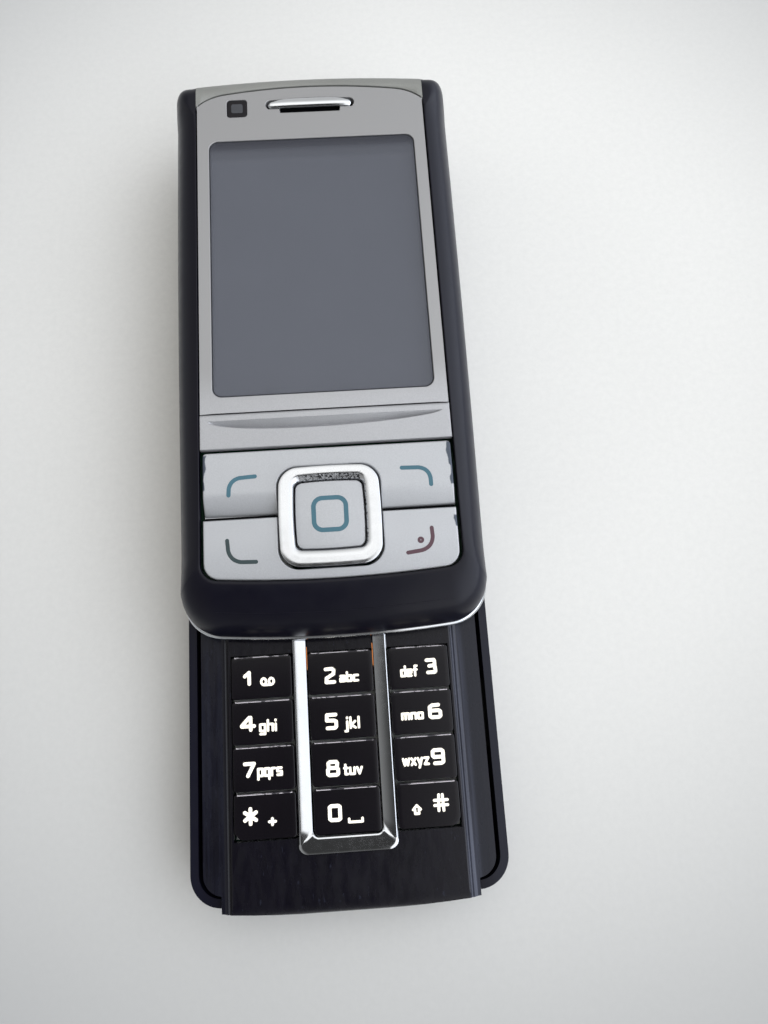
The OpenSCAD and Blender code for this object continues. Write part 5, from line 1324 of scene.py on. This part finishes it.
def bars(name, groups, height, body, material, rise=0.014):
    """A flat bar with round ends for every stroke: half circles of the stroke's width about both of its
    ends. Each bar lies a hair higher than the one before it, so that no two share a plane."""
    outline = []
    half_turn = np.radians(np.linspace(90, 270, 7))
    for rows, stroke in groups:
        start, end = rows[:, :2], rows[:, 2:]
        along = end - start
        along /= np.maximum(np.linalg.norm(along, axis=1), 1e-9)[:, None]
        side = np.stack([-along[:, 1], along[:, 0]], axis=1)
        half_circle = (np.cos(half_turn)[None, :, None] * along[:, None]
                       + np.sin(half_turn)[None, :, None] * side[:, None])
        around_start = start[:, None] + stroke / 2 * half_circle
        around_end = end[:, None] - stroke / 2 * half_circle
        outline.append(np.concatenate([around_start, around_end], axis=1))
    loops = np.concatenate(outline)
    count, size, _ = loops.shape
    xy = loops.reshape(-1, 2)
    z = height(xy[:, 0], xy[:, 1]) + rise + np.repeat(np.arange(count) * 0.0006, size)
    faces = np.arange(count * size).reshape(count, size).tolist()
    points = np.concatenate([xy, z[:, None]], axis=1)
    return face_up(make_piece(name, points, faces, body, material, []))


BOLD, MIDDLE, FINE = 0.54, 0.42, 0.37        # widths of the strokes
KEY_SIGNS = {             # figure and letters with their places: left, bottom, width, height
    "key_1": [("1", (-14.61, -17.69, 1.19, 2.20)), ("tape", (-12.09, -17.88, 2.24, 1.32))],
    "key_4": [("4", (-15.20, -24.32, 2.36, 2.28)), ("ghi", (-12.41, -24.93, 2.65, 2.28))],
    "key_7": [("7", (-14.89, -30.78, 1.89, 2.22)), ("pqrs", (-12.87, -31.25, 3.78, 1.80))],
    "key_star": [("*", (-15.03, -37.34, 2.15, 2.57)), ("+", (-11.47, -37.55, 1.29, 1.21))],
    "key_2": [("2", (-2.49, -18.19, 1.80, 2.50)), ("abc", (-0.24, -18.08, 3.00, 1.61))],
    "key_5": [("5", (-2.65, -24.83, 1.92, 2.43)), ("jkl", (0.15, -25.32, 2.37, 2.28))],
    "key_8": [("8", (-2.81, -31.44, 2.04, 2.36)), ("tuv", (-0.33, -31.36, 2.92, 1.67))],
    "key_0": [("0", (-2.81, -37.61, 2.02, 2.44)), ("space", (0.02, -37.95, 2.30, 0.81))],
    "key_3": [("def", (8.97, -17.92, 2.71, 1.77)), ("3", (12.79, -17.70, 1.81, 2.36))],
    "key_6": [("mno", (8.66, -24.19, 3.42, 1.15)), ("6", (12.73, -24.26, 2.09, 2.30))],
    "key_9": [("wxyz", (8.35, -31.13, 4.11, 1.67)), ("9", (12.67, -30.79, 2.06, 2.38))],
    "key_hash": [("shift", (9.34, -37.46, 1.45, 1.49)), ("#", (12.46, -37.28, 2.32, 2.59))],
}
for i, name in enumerate(KEY_NAMES):
    x, y, w = key_place(i)
    groups = []
    for text, place in KEY_SIGNS[name]:
        stroke = BOLD if text in "0123456789*" else MIDDLE if text in "#+" else FINE
        groups.append((glyph_strokes(text, place, stroke), stroke))
    bars(name + "_sign", groups, key_height(y), name, LEGEND)
print("lit signs:", len(KEY_SIGNS))

# %% Backlight that leaks past the first keys
GLOW = finish("backlight_leak", srgb(170, 92, 40), roughness=0.5, vary=0.2, vary_scale=900, wear=0.42,
              wear_colour=srgb(60, 34, 20), wear_scale=1400, emission=(1.0, 0.42, 0.12, 1), glow=0.25)
for side, name in ((-1, "backlight_left"), (1, "backlight_right")):
    x = side * (LEG_IN - 0.02)
    leak = line((x, KEYPAD_TOP - 2.6), (x, KEYPAD_TOP + 0.7), 8)
    ribbon(name, leak, 0.13, flat(leg_high - 0.2), "base", GLOW)

# %% [markdown]
# ## Painted glints on the key edges
#
# Between the rows of number keys the upper edge of each key shows as a thin broken bright line, a
# painted glint. It is a narrow strip that lies on the edge's round.

# %% Painted glints on the keys' upper edges
def painted_glint_strip(name, x0, x1, cy, body, width=0.2):
    """A strip along a key's upper edge that carries a painted glint, from its round to its crown: two rows of
    points at two depths.
    """
    xs = np.linspace(x0, x1, 40)
    top = cy + PITCH / 2 - KEY_GAP
    base = key_height(cy)(xs, np.full(len(xs), top))
    rows = []
    for back, down in ((-0.004, 0.13), (0.02, 0.055), (0.07, 0.01), (width, -0.002)):
        rows.append(np.stack([xs, np.full(len(xs), top - back), base - down + 0.008], axis=1))
    points = np.stack(rows)
    faces = grid_faces(len(rows), len(xs))
    return face_up(make_piece(name, points.reshape(-1, 3), faces, body, EDGE_GLINT, []))


for i, name in enumerate(KEY_NAMES):
    x, y, w = key_place(i)
    painted_glint_strip(name + "_edge", x - w / 2 + 0.5, x + w / 2 - 0.5, y, name)

# %% [markdown]
# ## Floor and light
#
# The phone lies on a pale table. Light comes from above its far end and from its right, and the near
# left side of the room is dark: that is why the chin looks black while the ring looks white. The
# whole room is one world shader that depends on direction, with soft borders.

# %% Floor
def fade_floor(name, middle, inner, outer, near, far):
    """Pale matt finish with a painted pool of light: its tone falls with the distance from a bright spot, a
    smooth step between two radii."""
    material = finish(name, near, roughness=0.75, vary=0.015, vary_scale=12, grain=0.02, grain_scale=900,
                      bump=0.1, bump_scale=500, bump_mm=0.05, specular=0.2)
    tree = material.node_tree
    place = tree.nodes.new("ShaderNodeTexCoord")
    away = tree.nodes.new("ShaderNodeVectorMath")
    away.operation = "DISTANCE"
    away.inputs[1].default_value = (middle[0] / 1000, middle[1] / 1000, 0)
    tree.links.new(place.outputs["Object"], away.inputs[0])
    fade = tree.nodes.new("ShaderNodeMapRange")
    fade.interpolation_type = "SMOOTHSTEP"
    fade.inputs["From Min"].default_value = inner / 1000
    fade.inputs["From Max"].default_value = outer / 1000
    tree.links.new(away.outputs["Value"], fade.inputs["Value"])
    paint_over(material, fade.outputs["Result"], far)
    return material


# painted pool of light on the floor: pale around a spot right of the middle, darker further out
floor_material = fade_floor("floor_white", (20, 45), 45, 165, srgb(234, 232, 227), srgb(164, 164, 163))
FLOOR_HALF, FLOOR_Z = 3.0, -5e-5     # metres; a hair below the phone, so that they share no plane
floor_corners = [(x * FLOOR_HALF, y * FLOOR_HALF, FLOOR_Z) for x, y in ((-1, -1), (1, -1), (1, 1), (-1, 1))]
mesh = bpy.data.meshes.new("floor")
mesh.from_pydata(floor_corners, [], [(0, 1, 2, 3)])
floor = bpy.data.objects.new("floor", mesh)
bpy.context.scene.collection.objects.link(floor)
mesh.materials.append(floor_material)

# %% The room's light
ROOM = 1.36               # brightness of the light side
world = bpy.data.worlds.new("room")
bpy.context.scene.world = world
world.use_nodes = True
tree = world.node_tree
back = tree.nodes["Background"]
direction = tree.nodes.new("ShaderNodeTexCoord")
split = tree.nodes.new("ShaderNodeSeparateXYZ")
tree.links.new(direction.outputs["Generated"], split.inputs["Vector"])


def fade(value, start, end, low, high, kind="SMOOTHSTEP"):
    """Goes from low to high while value goes from start to end."""
    node = tree.nodes.new("ShaderNodeMapRange")
    node.interpolation_type = kind
    for socket, number in (("From Min", start), ("From Max", end), ("To Min", low), ("To Max", high)):
        node.inputs[socket].default_value = number
    tree.links.new(value, node.inputs["Value"])
    return node.outputs["Result"]


def combine(kind, a, b):
    """One sum, difference or product of two values or outputs."""
    node = tree.nodes.new("ShaderNodeMath")
    node.operation = kind
    for socket, value in zip(node.inputs, (a, b)):
        if isinstance(value, (int, float)):
            socket.default_value = value
        else:
            tree.links.new(value, socket)
    return node.outputs["Value"]


far_dark = fade(split.outputs["Y"], 0.09, 0.13, 1.0, 0.0)
right_dark = fade(split.outputs["X"], 0.06, 0.12, 1.0, 0.0)
dark_side = combine("MULTIPLY", far_dark, right_dark)
dim = combine("ADD", fade(split.outputs["Z"], 0.0, 0.95, 0.22, 0.05),
              fade(split.outputs["X"], -0.5, -0.1, 0.26, 0.0))
fuller = combine("MULTIPLY", fade(split.outputs["X"], -0.5, -0.15, 0.4, 1.0),
                 fade(split.outputs["Y"], 0.35, 0.72, 1.22, 0.55))
fuller = combine("MULTIPLY", fuller, fade(split.outputs["X"], 0.3, 0.6, 1.0, 1.55))
bright = combine("MULTIPLY", fuller, ROOM)
level = combine("ADD", combine("MULTIPLY", dark_side, dim),
                combine("MULTIPLY", combine("SUBTRACT", 1.0, dark_side), bright))
tree.links.new(level, back.inputs["Strength"])
tint = tree.nodes.new("ShaderNodeMix")
tint.data_type = "RGBA"
tree.links.new(fade(split.outputs["X"], 0.0, 0.5, 0.0, 1.0), tint.inputs["Factor"])
tint.inputs[6].default_value = (1.0, 1.0, 0.985, 1)
tint.inputs[7].default_value = (0.93, 0.98, 1.06, 1)
tree.links.new(tint.outputs[2], back.inputs["Color"])
bpy.context.scene.view_settings.view_transform = "Standard"
